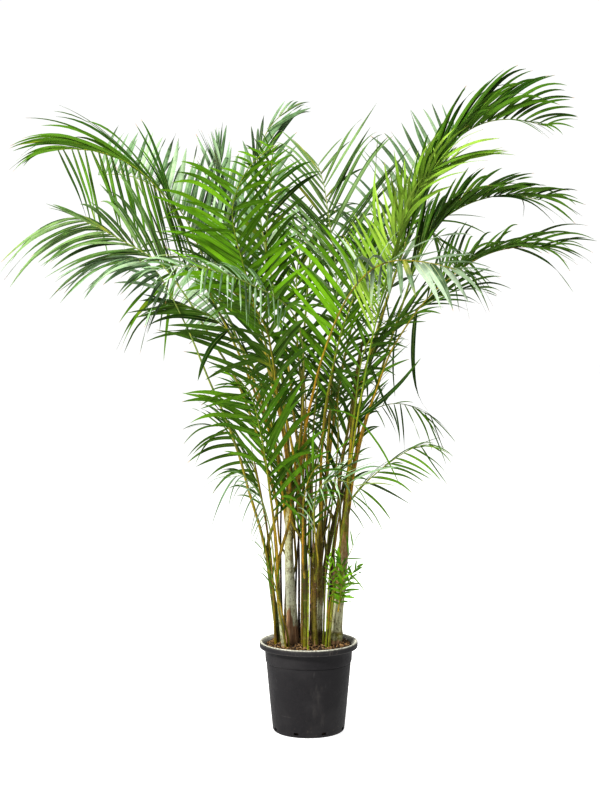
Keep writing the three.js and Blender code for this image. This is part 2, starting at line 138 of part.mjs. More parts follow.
  ["frond_41", "grey", 16, "0,90,517 2,112,564 3,133,611 4,156,657 5,183,701 4,214,742 3,248,780 1,284,816 -1,326,847 -5,372,869 -10,422,877 -11,472,864 -10,515,837 -10,553,803 -10,583,761 -10,610,717",
    [10, .14, ".45,-105,11,43 .55,-122,41,49 .65,-123,98,22 .75,-90,125,-59 .85,-64,107,-98 .93,-43,77,-122 1,-26,71,-114"], [10, .14, ".45,102,19,46 .55,111,57,56 .65,105,116,23 .75,91,125,-57 .85,64,108,-97 .93,43,78,-121 1,26,72,-113"], []],
];

// ---------------------------------------------------------------- colours
const plastic = new THREE.MeshStandardMaterial({ color: 0x2f2d2e, roughness: 0.62, metalness: 0 });
const soilMat = new THREE.MeshStandardMaterial({ color: 0x6b4a30, roughness: 0.95, metalness: 0 });
const caneMat = new THREE.MeshStandardMaterial({ color: 0xb9b98c, roughness: 0.7, metalness: 0 });
const LEAF = {
  bright: 0x6aa81c, lime: 0x8cc832, mid: 0x4c8a18, dark: 0x2c6410, deep: 0x28521a,
  grey: 0x6d9460, pale: 0x9dbb8a, palest: 0xc0d2ac,
};
const leafMat = Object.fromEntries(
  Object.entries(LEAF).map(([k, color]) => [k, new THREE.MeshStandardMaterial({ color, roughness: 0.5, metalness: 0, side: THREE.FrontSide })]),
);

// ---------------------------------------------------------------- helpers
const points = (text) => text.split(" ").map((w) => w.split(",").map(Number));
const vectors = (text) => points(text).map(([x, y, z]) => new THREE.Vector3(x, y, z));

function solid(geometry) {
  const g = geometry.clone();
  g.deleteAttribute("normal");
  g.deleteAttribute("uv");
  const m = mergeVertices(g, 1e-4);
  // A ring drawn to a point leaves triangles with no area: they go.
  const kept = [];
  for (let i = 0; i < m.index.count; i += 3) {
    const [a, b, c] = [0, 1, 2].map((k) => m.index.getX(i + k));
    if (a !== b && b !== c && c !== a) kept.push(a, b, c);
  }
  const made = new wasm.Manifold(
    new wasm.Mesh({ numProp: 3, vertProperties: new Float32Array(m.attributes.position.array), triVerts: new Uint32Array(kept) }),
  );
  return made;
}

function geometryOf(manifold) {
  const mesh = manifold.getMesh();
  const g = new THREE.BufferGeometry();
  const p = new Float32Array(mesh.numVert * 3);
  for (let i = 0; i < mesh.numVert; i++) for (let k = 0; k < 3; k++) p[3 * i + k] = mesh.vertProperties[i * mesh.numProp + k];
  g.setAttribute("position", new THREE.BufferAttribute(p, 3));
  g.setIndex(new THREE.BufferAttribute(new Uint32Array(mesh.triVerts), 1));
  const flat = g.toNonIndexed();
  flat.computeVertexNormals();
  return flat;
}

// A cylinder bent along a line of stations. Each station has a centre, two directions and two half sizes.
function loft(stations, sides) {
  const n = stations.length - 1;
  const g = new THREE.CylinderGeometry(1, 1, 1, sides, n, false);
  const p = g.attributes.position;
  const v = new THREE.Vector3();
  for (let i = 0; i < p.count; i++) {
    v.fromBufferAttribute(p, i);
    const s = stations[Math.round((v.y + 0.5) * n)];
    const out = s.c.clone().addScaledVector(s.u, v.x * s.a).addScaledVector(s.w, v.z * s.b);
    p.setXYZ(i, out.x, out.y, out.z);
  }
  return solid(g);
}

// Stations along a polyline, with frames that don't twist.
function tubeStations(line, radius) {
  const out = [];
  let u = new THREE.Vector3(0, 1, 0);
  for (let i = 0; i < line.length; i++) {
    const t = line[Math.min(i + 1, line.length - 1)].clone().sub(line[Math.max(i - 1, 0)]).normalize();
    u = u.clone().addScaledVector(t, -u.dot(t)).normalize();
    const w = new THREE.Vector3().crossVectors(u, t).normalize();
    const r = radius(i / (line.length - 1));
    out.push({ c: line[i].clone(), u, w, a: r, b: r });
  }
  return out;
}

function along(line, t) {
  const k = Math.min(Math.max(t, 0), 1) * (line.length - 1);
  const i = Math.min(Math.floor(k), line.length - 2);
  return line[i].clone().lerp(line[i + 1], k - i);
}
function direction(line, t) {
  return along(line, Math.min(1, t + 0.02)).sub(along(line, Math.max(0, t - 0.02))).normalize();
}

// A leaflet: a keeled blade, three-sided in section, on a bent centre line, with a pointed tip. Its width starts along
// the midrib and is carried down the blade without turning over.
function blade(centre, side, width, extra) {
  const n = centre.length - 1;
  const shape = n === 3 ? [0, 0.4, 1, 0] : [0, 0.4, 1, 0.72, 0];
  let u = side.clone();
  const stations = centre.map((c, i) => {
    const t = centre[Math.min(i + 1, n)].clone().sub(centre[Math.max(i - 1, 0)]).normalize();
    u = u.clone().addScaledVector(t, -u.dot(t));
    if (u.length() < 0.15) u.set(0, 0, 1).addScaledVector(t, -t.z);
    if (u.length() < 0.15) u.set(0, 1, 0).addScaledVector(t, -t.y);
    u.normalize();
    const w = new THREE.Vector3().crossVectors(u, t).normalize();
    const f = i / n;
    const point = i === 0 || i === n;
    const half = (width / 2) * shape[i];
    const thick = point ? 0 : (LEAFLET_T / 2) * (1.25 - 0.3 * f);
    return { c: c.clone(), u, w, a: point ? 0 : half / 0.866 + extra, b: point ? 0 : thick + extra };
  });
  return loft(stations, 3);
}
const bend = (c, off, arch, q) => {
  const L = off.length();
  const mid = c.clone().addScaledVector(off, 0.45).add(new THREE.Vector3(0, 0, arch * L));
  return c.clone().multiplyScalar((1 - q) ** 2).addScaledVector(mid, 2 * q * (1 - q)).addScaledVector(c.clone().add(off), q * q);
};

const group = new THREE.Group();
const placed = []; // { box, solid, owner } of everything that stands already
function boxOf(m) {
  const b = m.boundingBox();
  return new THREE.Box3(new THREE.Vector3(...b.min), new THREE.Vector3(...b.max));
}
function keep(m, owner) {
  placed.push({ box: boxOf(m), solid: m, owner });
}
function isFree(fat, owner) {
  const b = boxOf(fat);
  for (const o of placed) {
    if (o.owner === owner || !o.box.intersectsBox(b)) continue;
    if (!fat.intersect(o.solid).isEmpty()) return false;
  }
  return true;
}
function addMesh(name, geometry, material) {
  const mesh = new THREE.Mesh(geometry, material);
  mesh.name = name;
  group.add(mesh);
}

// ---------------------------------------------------------------- pot
const potProfile = [
  [0, 0], [BODY_FOOT_R - FOOT_ROUND, 0], [BODY_FOOT_R - 2.5, 2.5], [BODY_FOOT_R, FOOT_ROUND],
  [BODY_TOP_R, STEP_Z], [COLLAR_FOOT_R, STEP_Z + 1.5], [COLLAR_R, POT_HEIGHT - RIM_DEPTH], [RIM_R - 1, POT_HEIGHT - RIM_DEPTH],
  [RIM_R, POT_HEIGHT - RIM_DEPTH + 2], [RIM_R, POT_HEIGHT - 2], [RIM_R - 2, POT_HEIGHT], [RIM_R - 5, POT_HEIGHT],
  [COLLAR_R - WALL + 0.5, POT_HEIGHT - RIM_DEPTH + 5], [COLLAR_R - WALL, POT_HEIGHT - RIM_DEPTH - 4], [COLLAR_FOOT_R - WALL, STEP_Z + 3], [BODY_TOP_R - WALL, STEP_Z - 2],
  [BODY_FOOT_R - WALL - 1.5, FLOOR], [0, FLOOR],
];
const lathe = (profile, sides) => solid(new THREE.LatheGeometry(profile.map(([r, z]) => new THREE.Vector2(r, z)), sides).rotateX(Math.PI / 2));
let pot = lathe(potProfile, POT_SIDES);
for (let i = 0; i < DRAIN_COUNT; i++) {
  const slot = new THREE.BoxGeometry(26, DRAIN_W, DRAIN_H);
  slot.translate(BODY_FOOT_R, 0, FLOOR + 4 + DRAIN_H / 2);
  slot.rotateZ(((i + 0.55) / DRAIN_COUNT) * Math.PI * 2);
  pot = pot.subtract(solid(slot));
}
addMesh("pot", geometryOf(pot), plastic);

// ---------------------------------------------------------------- canes
const caneSolids = CANES.map(([name, text, radii]) => {
  const knots = vectors(text);
  const foot = knots[0].clone();
  const lean = knots[1].clone().sub(knots[0]).normalize();
  const root = foot.clone().addScaledVector(lean, (CANE_ROOT_Z - foot.z) / lean.z);
  const curve = new THREE.CatmullRomCurve3(knots, false, "centripetal");
  const steps = 7;
  const line = [root, ...Array.from({ length: steps }, (_, i) => curve.getPointAt(i / (steps - 1)))];
  const r = (f) => {
    const k = Math.max(0, (f * steps - 1) / (steps - 1)) * (radii.length - 1);
    const i = Math.min(Math.floor(k), radii.length - 2);
    return f === 0 ? radii[0] * 0.8 : radii[i] + (radii[i + 1] - radii[i]) * (k - i);
  };
  const stations = tubeStations(line, r);
  const body = loft(stations, CANE_SIDES);
  const fat = loft(stations.map((s) => ({ ...s, a: s.a + GAP, b: s.b + GAP })), CANE_SIDES);
  keep(fat, name);
  addMesh(name, geometryOf(body), caneMat);
  return fat;
});

// ---------------------------------------------------------------- soil
let soil = lathe(
  [[0, FLOOR + GAP], [BODY_FOOT_R - WALL - 2.5, FLOOR + GAP], [BODY_TOP_R - WALL - 0.6, STEP_Z - 2],
    [COLLAR_FOOT_R - WALL - 0.6, STEP_Z + 4], [COLLAR_R - WALL - 0.6, POT_HEIGHT - RIM_DEPTH - 3.5], [COLLAR_R - WALL - 0.5, SOIL_Z - 3], [COLLAR_R - 14, SOIL_Z], [60, SOIL_Z + SOIL_CROWN * 0.7], [0, SOIL_Z + SOIL_CROWN]],
  POT_SIDES,
);
for (const c of caneSolids) soil = soil.subtract(c);
keep(soil, "soil");
addMesh("soil", geometryOf(soil), soilMat);

// ---------------------------------------------------------------- fronds
// All midribs first, so that every leaflet can grow clear of them.
const ribs = FRONDS.map(([name, , , text]) => {
  const curve = new THREE.CatmullRomCurve3(vectors(text), false, "centripetal");
  const line = Array.from({ length: RACHIS_STEPS }, (_, i) => curve.getPointAt(i / (RACHIS_STEPS - 1)));
  const stations = tubeStations(line, (f) => RACHIS_R[0] + (RACHIS_R[1] - RACHIS_R[0]) * Math.pow(f, 0.8));
  let rib = loft(stations, RACHIS_SIDES);
  for (const c of caneSolids) rib = rib.subtract(c);
  const pieces = rib.decompose();
  rib = pieces.sort((a, b) => b.volume() - a.volume())[0];
  keep(rib, name);
  return { line, rib };
});
const TRIES = [[0, 1], [22, 1], [-22, 1], [45, 1], [-45, 1], [0, 0.8], [30, 0.8], [-30, 0.8], [70, 0.9], [-70, 0.9], [0, 0.6], [40, 0.6], [-40, 0.6], [0, 0.42]];
FRONDS.forEach(([name, colour, width, , ...rest], index) => {
  const { line, rib } = ribs[index];
  const odd = rest.pop();
  const parts = [];
  let stagger = -0.5; // leaflets of the two sides leave the midrib in turn
  for (const [count, arch, text] of rest) {
    stagger += 0.5;
    const rows = points(text);
    const n = Math.max(3, Math.round(count * LEAFLET_SHARE));
    for (let i = 0; i < n; i++) {
      const step = (rows[rows.length - 1][0] - rows[0][0]) / (n - 1);
      const t = rows[0][0] + step * (i < n - 1 ? i + stagger : i);
      let k = 0;
      while (k < rows.length - 2 && rows[k + 1][0] < t) k++;
      const f = Math.min(1, Math.max(0, (t - rows[k][0]) / Math.max(1e-6, rows[k + 1][0] - rows[k][0])));
      const off = new THREE.Vector3(...[1, 2, 3].map((c) => rows[k][c] + (rows[k + 1][c] - rows[k][c]) * f));
      const c = along(line, Math.min(t, 0.995));
      const side = direction(line, Math.min(t, 0.99));
      const root = Math.min(0.2, 7 / off.length());
      const qs = Math.abs(arch) > 0.15 && off.length() > 90 ? [0, root, 0.36, 0.72, 1] : [0, root, 0.42, 1];
      for (const [shift, scale] of TRIES) {
        const o = off.clone().multiplyScalar(scale).add(new THREE.Vector3(0, (shift * off.length()) / 250, 0));
        const centre = qs.map((q) => bend(c, o, arch, q));
        if (!isFree(blade(centre, side, width, CLEAR), name)) continue;
        const b = blade(centre, side, width, 0);
        parts.push(b);
        keep(b, name);
        break;
      }
    }
  }
  for (const [w, text] of odd) {
    const path = vectors(text);
    let best = 0;
    for (let i = 0; i <= 200; i++) if (along(line, i / 200).distanceTo(path[0]) < along(line, best).distanceTo(path[0])) best = i / 200;
    const curve = new THREE.CatmullRomCurve3([along(line, best), ...path.slice(1)], false, "centripetal");
    const centre = [0, 0.05, 0.36, 0.72, 1].map((q) => curve.getPointAt(q));
    const side = direction(line, best);
    if (isFree(blade(centre, side, w, CLEAR), name)) {
      const b = blade(centre, side, w, 0);
      parts.push(b);
      keep(b, name);
    }
  }
  let frond = rib;
  for (const b of parts) frond = frond.add(b);
  const whole = frond.decompose().sort((a, b) => b.volume() - a.volume())[0];
  addMesh(name, geometryOf(whole), leafMat[colour]);
});

export default group;
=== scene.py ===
import math

import bmesh
import bpy
import numpy as np
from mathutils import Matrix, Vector


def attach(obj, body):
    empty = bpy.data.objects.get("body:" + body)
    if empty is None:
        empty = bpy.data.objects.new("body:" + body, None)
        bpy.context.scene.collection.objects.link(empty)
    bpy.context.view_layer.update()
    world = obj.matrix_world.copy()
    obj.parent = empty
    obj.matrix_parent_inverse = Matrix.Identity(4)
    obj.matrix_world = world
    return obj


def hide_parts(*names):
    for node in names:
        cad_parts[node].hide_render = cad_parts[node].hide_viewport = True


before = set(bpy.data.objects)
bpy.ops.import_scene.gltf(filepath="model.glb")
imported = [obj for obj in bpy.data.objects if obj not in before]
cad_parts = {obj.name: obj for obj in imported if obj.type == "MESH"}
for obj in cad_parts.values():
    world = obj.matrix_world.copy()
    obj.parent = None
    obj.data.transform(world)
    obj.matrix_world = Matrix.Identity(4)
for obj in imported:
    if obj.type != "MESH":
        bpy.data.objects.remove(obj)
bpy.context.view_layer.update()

MM = 0.001
rng = np.random.default_rng(20240611)

# name, centre line from soil to top, radii along it
CANES = [
    ("cane_1", "-82.7,-5,245.5 -93.8,-8,333.5 -104.7,-15,416.3 -112.8,-25,482.4", [9, 8, 7, 6.5]),
    ("cane_2", "-68.1,-65,250 -79,-70,345.5 -84.4,-75,407.4", [8, 7, 6]),
    ("cane_3", "-46.3,-15,250.5 -46.3,-15,318 -49,-18,369.2 -54.5,-24,482.2 -54.4,-30,594.7", [20, 17.5, 15.5, 13.5, 12]),
    ("cane_4", "-10.2,-75,246.6 -7.5,-72,351.5 -10.3,-68,461.6 -13,-66,530.4", [9, 9.5, 12, 11]),
    ("cane_5", "17.5,-50,246.8 14.6,-55,348.2 17.3,-60,446.4 20,-62,516", [12, 8.5, 8, 7]),
    ("cane_6", "29.2,0,250.1 31.9,0,365.8 31.8,0,478.4 34.5,0,582.3", [10, 9.5, 9, 8]),
    ("cane_7", "55.4,55,241.3 63.8,55,355.6 69.3,55,455.4", [8, 7.5, 7]),
    ("cane_8", "73.6,-15,253.3 79.1,-16,318.2 87.3,-17,397 95.5,-18,486.9 100.9,-18,579.1", [20, 17, 15, 14, 12]),
    ("cane_9", "-63.6,45,254.8 -60.8,50,356.5 -55.1,55,498.1 -49.4,60,596.9", [10, 9, 8, 7]),
    ("cane_10", "-12.7,50,253.7 -12.7,52,384.7 -12.7,55,512.3 -12.7,55,583.4", [13, 11, 10, 9]),
    ("cane_11", "24.5,85,252.2 38.7,85,378.8 61.3,82,522.6 78.2,80,594.3", [11, 10, 9, 8]),
]
# name, colour, leaflet width, midrib knots, [(count, arch, rows "t,dx,dy,dz")], odd leaflets [(width, path)]
FRONDS = [
    ("frond_01", "dark", 17, "-58,30,629 -78,39,716 -100,49,802 -129,63,885 -161,78,967 -195,90,1048 -233,102,1129 -274,114,1207 -310,124,1288 -342,130,1371 -379,130,1452 -431,130,1524 -497,130,1584 -578,130,1620 -667,130,1632 -756,130,1626",
     [(20, 0.1, ".508,-117,100,267 .61,-139,80,253 .678,-106,60,275 .712,-303,40,261 .746,-272,30,208 .78,-300,20,153 .814,-317,20,104 .831,-312,20,57 .864,-261,10,33 .898,-228,10,-7 .932,-176,0,-32 .966,-122,0,-40 1,-57,0,-31"), (19, -0.03, ".508,121,-100,-165 .593,91,-100,-188 .678,70,-100,-193 .746,71,-100,-209 .78,62,-100,-227 .831,66,-100,-236 .864,87,-100,-239 .881,79,-100,-249 .915,96,-100,-245 .932,80,-100,-235 .966,92,-100,-212")], []),
    ("frond_02", "grey", 19, "-90,-20,649 -108,-24,713 -125,-29,776 -144,-37,839 -165,-48,901 -188,-60,962 -217,-73,1020 -251,-86,1075 -284,-95,1132 -317,-102,1189 -354,-112,1243 -393,-120,1295 -448,-120,1331 -506,-120,1363 -564,-120,1395 -624,-120,1423",
     [(11, 0.06, ".661,-132,50,321 .712,-136,50,270 .763,-145,40,223 .814,-125,30,136 .847,-134,20,122 .898,-102,10,62 .949,-113,0,60 1,-80,0,29"), (15, 0.17, ".746,-246,-100,-83 .78,-246,-100,-69 .797,-226,-80,-46 .831,-198,-70,-35 .864,-196,-60,-56 .915,-186,-50,-72 .949,-209,-40,-133 .966,-230,-30,-108 1,-179,-20,-100")], []),
    ("frond_03", "pale", 20, "-118,-40,507 -132,-53,569 -149,-69,630 -166,-85,690 -181,-100,752 -199,-116,812 -220,-131,872 -243,-147,931 -267,-164,988 -290,-176,1048 -314,-186,1108 -340,-201,1165 -367,-220,1221 -397,-245,1273 -444,-270,1307 -506,-280,1302",
     [(8, 0.16, ".797,-127,-20,80 .847,-141,-30,57 .898,-152,-40,4 .932,-162,-40,-37 1,-136,-40,-52"), (9, 0.16, ".797,-50,-100,-96 .831,-32,-100,-98 .881,-106,-100,-59 .898,-114,-100,-46 .932,-126,-100,-84 .966,-130,-90,-89 1,-142,-80,-64")], []),
    ("frond_04", "pale", 15, "-29,-68,641 -29,-76,704 -28,-86,768 -24,-102,830 -18,-119,892 -15,-136,954 -14,-153,1016 -17,-174,1077 -28,-200,1134 -55,-231,1182 -99,-265,1214 -149,-298,1238 -200,-328,1261 -257,-351,1278 -320,-364,1284 -382,-370,1274",
     [(15, 0.3, ".61,-12,-40,-74 .678,7,-50,-83 .712,-1,-50,-88 .763,10,-50,-96 .797,-5,-60,-67 .847,-9,-60,-74 .881,-10,-60,-83 .915,-51,-50,-81 .966,-56,-40,-51 1,-71,-20,-38"), (13, 0.22, ".61,64,40,-19 .678,-58,60,82 .763,-82,60,49 .831,-98,60,37 .881,-112,50,31 .949,-112,30,12 1,-76,0,-18")], []),
    ("frond_05", "deep", 20, "-60,-20,565 -66,-31,616 -71,-41,666 -78,-52,717 -84,-61,768 -92,-70,818 -102,-82,868 -113,-96,917 -126,-111,965 -143,-127,1011 -166,-142,1055 -194,-158,1096 -229,-171,1132 -270,-180,1162 -316,-189,1183 -367,-190,1192",
     [(9, 0.08, ".576,-73,40,152 .695,-84,40,139 .797,-104,30,114 .864,-154,20,50 .932,-143,10,9 1,-63,0,18"), (9, 0.1, ".525,-154,-40,82 .627,-233,-50,84 .712,-230,-50,43 .78,-154,-40,19 .847,-208,-30,2 .915,-160,-20,-13 .966,-103,-20,-20 1,-53,0,-16")], [(15, "-230,-200,1092 -250,-210,1087 -268,-220,1058 -281,-230,1027 -292,-230,988"), (8, "-316,-170,1193 -374,-170,1182 -422,-170,1163 -460,-170,1126 -481,-170,1086 -492,-170,1060"), (15, "-75,-160,1081 -125,-170,1047 -183,-180,1031 -231,-190,1015 -275,-200,989")]),
    ("frond_06", "mid", 20, "-84,-80,450 -86,-87,489 -88,-95,528 -91,-105,566 -95,-118,603 -99,-131,640 -104,-145,677 -108,-159,714 -112,-173,750 -117,-187,787 -123,-201,824 -130,-215,860 -137,-227,897 -146,-241,933 -157,-260,966 -182,-280,987",
     [(17, 0.05, ".525,-122,30,133 .644,-133,30,129 .729,-149,20,110 .814,-182,0,41 .881,-147,0,37 .966,-86,0,3 1,-39,0,-5"), (14, 0.08, ".271,152,-20,144 .475,143,-20,185 .576,133,-20,215 .678,113,-20,181 .78,90,-20,121 .831,68,-30,86 .898,44,-30,43 .966,34,-30,20")], []),
    ("frond_07", "deep", 15, "-94,0,366 -99,4,403 -104,7,440 -108,10,478 -112,11,516 -115,11,553 -119,10,591 -126,6,628 -134,1,664 -142,-4,701 -151,-10,737 -163,-15,773 -179,-24,806 -200,-39,833 -230,-49,853 -265,-60,860",
     [(10, 0.08, ".508,-83,20,173 .627,-101,20,192 .746,-107,0,164 .831,-132,0,133 .898,-86,0,84 .966,-73,0,32 1,-79,0,-3"), (11, 0.18, ".458,-76,-40,22 .576,-113,-40,58 .678,-124,-40,-30 .763,-140,-40,-35 .814,-138,-30,-23 .898,-115,-30,-48 .966,-94,-20,-40 1,-77,0,-11")], []),
    ("frond_08", "pale", 10, "-82,-92,355 -84,-96,386 -87,-100,416 -90,-105,447 -93,-112,477 -96,-122,506 -98,-132,536 -102,-143,565 -106,-154,593 -112,-166,621 -119,-179,649 -127,-193,675 -139,-208,700 -154,-223,722 -176,-238,738 -205,-250,737",
     [(7, 0.25, ".627,-65,20,70 .797,-72,20,61 .864,-76,10,25 .949,-72,0,-22 1,-68,0,-42"), (8, 0.28, ".576,-36,-40,-47 .729,-29,-40,-100 .831,-44,-40,-28 .898,-46,-30,-61 .949,-58,-30,-105 .983,-70,-20,-128 1,-81,0,-76")], []),
    ("frond_09", "bright", 13, "-83,40,529 -86,43,565 -88,46,602 -91,50,638 -96,56,674 -101,62,710 -108,69,745 -115,74,781 -123,77,816 -132,80,852 -143,84,886 -157,89,920 -175,95,952 -197,100,980 -225,100,1003 -257,100,1022",
     [(7, 0.05, ".593,-74,0,130 .746,-85,0,91 .864,-69,0,52 .932,-63,0,34"), (6, 0.05, ".525,-49,0,53 .695,-85,0,43 .831,-84,0,29 .932,-60,0,14")], []),
    ("frond_10", "pale", 21, "-75,76,723 -94,104,794 -117,131,863 -142,162,931 -168,194,998 -195,226,1064 -224,258,1130 -254,289,1195 -282,320,1261 -311,350,1328 -341,377,1396 -375,399,1462 -424,422,1519 -486,437,1563 -560,441,1588 -638,440,1587",
     [(14, 0.04, ".475,79,20,254 .559,78,30,307 .627,64,30,278 .695,52,30,235 .746,43,30,196 .78,40,30,180 .831,54,30,156 .864,52,20,141 .898,49,20,136 .932,51,20,134 .966,60,20,144 1,62,20,147"), (5, 0.05, ".424,-117,50,-80 .525,-106,50,-77 .627,-102,50,-118")], []),
    ("frond_11", "pale", 24, "-58,120,776 -72,153,832 -87,185,888 -102,216,945 -117,245,1002 -133,274,1060 -148,302,1118 -163,331,1176 -178,357,1235 -193,381,1295 -208,404,1356 -222,426,1417 -236,446,1478 -250,460,1542 -263,469,1606 -275,470,1672",
     [(9, 0.04, ".508,-86,30,234 .627,-110,30,250 .712,-116,20,265 .814,-95,0,253 .881,-58,0,148 .949,-21,0,110 1,-6,0,67"), (9, 0.04, ".508,64,30,234 .627,60,30,244 .712,41,20,235 .814,41,0,172 .881,21,0,115 .949,13,0,129 1,6,0,67")], []),
    ("frond_12", "pale", 17, "-27,74,780 -38,100,848 -45,128,916 -53,154,984 -64,180,1051 -76,205,1118 -90,229,1186 -104,251,1254 -118,272,1322 -132,292,1391 -144,311,1460 -153,330,1530 -153,345,1601 -139,354,1672 -104,360,1735 -48,360,1781",
     [(10, 0.12, ".508,118,40,190 .627,113,40,167 .729,111,30,158 .78,134,30,206 .847,145,20,145 .898,134,10,78 .949,93,0,53 1,57,0,9"), (9, 0.1, ".508,-101,50,217 .627,-101,40,173 .729,-51,30,140 .78,-4,30,164 .847,7,20,100 .881,50,10,112 .932,57,0,76 .983,37,0,33")], []),
    ("frond_13", "pale", 21, "119,55,767 126,89,832 142,112,898 160,133,963 178,161,1026 196,190,1088 214,218,1151 234,247,1214 255,277,1275 277,306,1336 300,333,1398 324,356,1461 350,378,1524 379,395,1587 411,405,1650 437,410,1716",
     [(16, 0.04, ".492,-178,0,197 .576,-190,0,221 .627,-183,0,258 .678,-165,0,239 .712,-150,0,220 .763,-145,0,210 .797,-125,0,191 .831,-105,0,166 .864,-87,0,159 .898,-87,0,160 .932,-73,0,144 .966,-55,0,115 1,-37,0,78"), (8, 0.04, ".492,95,50,159 .627,85,50,156 .746,69,40,137 .847,47,30,116 .898,35,20,112 1,-3,0,57")], []),
    ("frond_14", "bright", 24, "-46,-60,599 -50,-78,670 -51,-97,741 -59,-117,811 -70,-138,880 -84,-158,950 -99,-175,1020 -116,-192,1089 -135,-210,1158 -154,-230,1226 -172,-250,1294 -190,-273,1362 -198,-302,1429 -178,-333,1492 -140,-363,1547 -84,-390,1584",
     [(21, 0.07, ".475,-178,-30,129 .542,-211,-40,141 .593,-232,-50,165 .661,-199,-50,110 .695,-197,-60,104 .729,-206,-60,110 .763,-202,-60,102 .797,-172,-50,96 .831,-160,-40,100 .864,-84,-30,40 .898,-57,-20,17 .949,-45,-10,16 .983,-34,0,24"), (19, 0.05, ".475,142,50,103 .542,145,60,134 .593,142,60,145 .661,142,60,143 .695,134,60,165 .746,140,50,158 .78,140,50,162 .814,131,40,146 .847,101,30,125 .898,80,20,81 .932,42,10,52 .966,31,0,36")], []),
    ("frond_15", "dark", 20, "-16,-10,536 -22,-19,611 -29,-29,686 -39,-41,760 -52,-54,833 -67,-71,906 -84,-90,977 -99,-110,1048 -110,-130,1121 -114,-145,1195 -115,-156,1270 -114,-161,1346 -110,-160,1421 -104,-150,1496 -98,-138,1570 -96,-120,1644",
     [(18, 0.06, ".424,-144,-20,167 .525,-181,-30,163 .61,-185,-30,152 .661,-173,-30,142 .712,-136,-30,105 .746,-90,-30,88 .78,-53,-20,53 .831,-38,-20,71 .864,-79,-10,98 .898,-64,0,97 .949,-28,0,65 .983,-16,0,36"), (15, 0.08, ".424,126,30,145 .525,112,40,138 .61,90,40,140 .678,80,40,127 .729,90,40,128 .763,96,40,103 .797,148,40,115 .831,156,30,113 .847,135,30,116 .881,89,20,51 .932,47,10,31 .983,29,0,28")], []),
    ("frond_16", "grey", 14, "49,30,699 52,38,759 55,46,819 59,54,879 64,61,939 69,70,998 74,80,1058 78,90,1117 80,97,1177 80,107,1237 78,121,1296 70,130,1355 62,140,1414 53,150,1473 45,161,1532 27,160,1589",
     [(20, 0.06, ".441,184,40,218 .525,192,40,255 .61,204,40,266 .678,208,40,281 .729,200,40,276 .763,187,40,267 .797,168,30,298 .847,144,30,260 .864,143,30,211 .898,118,20,238 .932,125,20,243 .966,86,10,163 1,63,0,77"), (17, 0.06, ".525,-127,-20,140 .627,-155,-20,151 .695,-167,-20,170 .746,-183,-20,193 .797,-182,-20,194 .847,-122,-20,144 .881,-124,-10,150 .915,-152,0,164 .949,-146,0,157 1,-51,0,54")], []),
    ("frond_17", "bright", 22, "34,-60,640 33,-67,688 33,-75,735 34,-83,783 37,-93,830 41,-103,877 46,-115,923 54,-129,969 62,-144,1014 72,-157,1060 84,-169,1105 97,-182,1149 112,-199,1192 127,-209,1236 137,-219,1283 141,-220,1331",
     [(13, 0.05, ".441,-139,-20,169 .559,-164,-20,179 .678,-158,-20,188 .746,-161,-20,195 .797,-159,-20,188 .847,-142,-20,174 .881,-120,-20,149 .915,-89,-20,120 .949,-59,-10,86 1,-37,0,63"), (10, 0.08, ".559,131,40,137 .678,125,40,132 .746,122,40,129 .831,98,30,120 .915,62,20,114 .983,29,0,101")], [(6, "44,-110,910 116,-130,892 186,-140,815 247,-150,700")]),
    ("frond_18", "deep", 19, "-48,-120,661 -52,-130,702 -57,-139,742 -61,-149,783 -66,-160,823 -72,-172,863 -77,-184,903 -82,-196,943 -88,-206,983 -93,-216,1024 -99,-227,1064 -106,-238,1103 -120,-250,1142 -139,-264,1176 -166,-280,1204 -202,-290,1222",
     [(9, 0.14, ".441,-101,-40,68 .627,-115,-50,51 .746,-127,-50,42 .864,-123,-40,13 .949,-97,-20,0 1,-70,0,3"), (9, 0.12, ".339,106,-20,107 .559,97,-20,117 .695,85,-20,114 .814,68,0,92 .898,43,0,71 .983,29,0,53")], []),
    ("frond_19", "mid", 18, "-2,30,615 -2,33,670 -3,36,726 -5,41,781 -9,48,836 -13,56,891 -18,65,946 -24,77,1000 -29,89,1054 -33,103,1108 -35,118,1162 -35,129,1216 -33,140,1270 -28,152,1324 -22,163,1379 -15,170,1434",
     [(11, 0.06, ".288,-121,20,175 .492,-117,20,150 .627,-121,20,160 .746,-98,20,149 .864,-65,10,116 1,-20,0,80"), (11, 0.06, ".288,121,20,164 .492,130,20,150 .627,124,20,154 .763,102,20,136 .881,66,10,125 1,26,0,68")], []),
    ("frond_20", "deep", 13, "59,-20,593 64,-24,635 70,-27,676 74,-31,717 77,-35,759 80,-38,800 81,-42,842 80,-46,883 80,-50,925 83,-54,966 88,-59,1007 95,-70,1047 108,-84,1084 128,-101,1116 157,-119,1140 190,-140,1153",
     [(13, 0.15, ".458,-93,-20,128 .576,-111,-20,128 .712,-111,-30,108 .814,-87,-30,99 .898,-63,-30,72 .949,-49,-20,56 1,-38,0,37"), (13, 0.18, ".407,93,0,93 .61,117,0,88 .729,143,0,54 .814,141,0,35 .898,99,0,29 .949,59,0,35 1,16,0,43")], []),
    ("frond_21", "dark", 17, "105,-60,654 107,-65,689 109,-71,724 111,-76,760 114,-83,795 116,-92,829 120,-100,864 124,-105,899 128,-110,934 131,-117,969 135,-124,1004 141,-131,1038 151,-138,1072 168,-145,1102 190,-152,1129 216,-160,1153",
     [(8, 0.08, ".525,-92,-10,132 .661,-89,-10,131 .78,-69,-10,118 .864,-52,0,100 .932,-37,0,88 1,-16,0,74"), (8, 0.08, ".525,131,20,126 .729,111,20,106 .814,123,20,91 .915,125,20,68 1,106,0,58")], [(13, "116,-120,878 170,-130,911 239,-140,973 299,-150,1046"), (8, "156,-120,1067 181,-120,986 205,-130,927 229,-130,876"), (9, "122,-100,877 160,-100,936 217,-100,988")]),
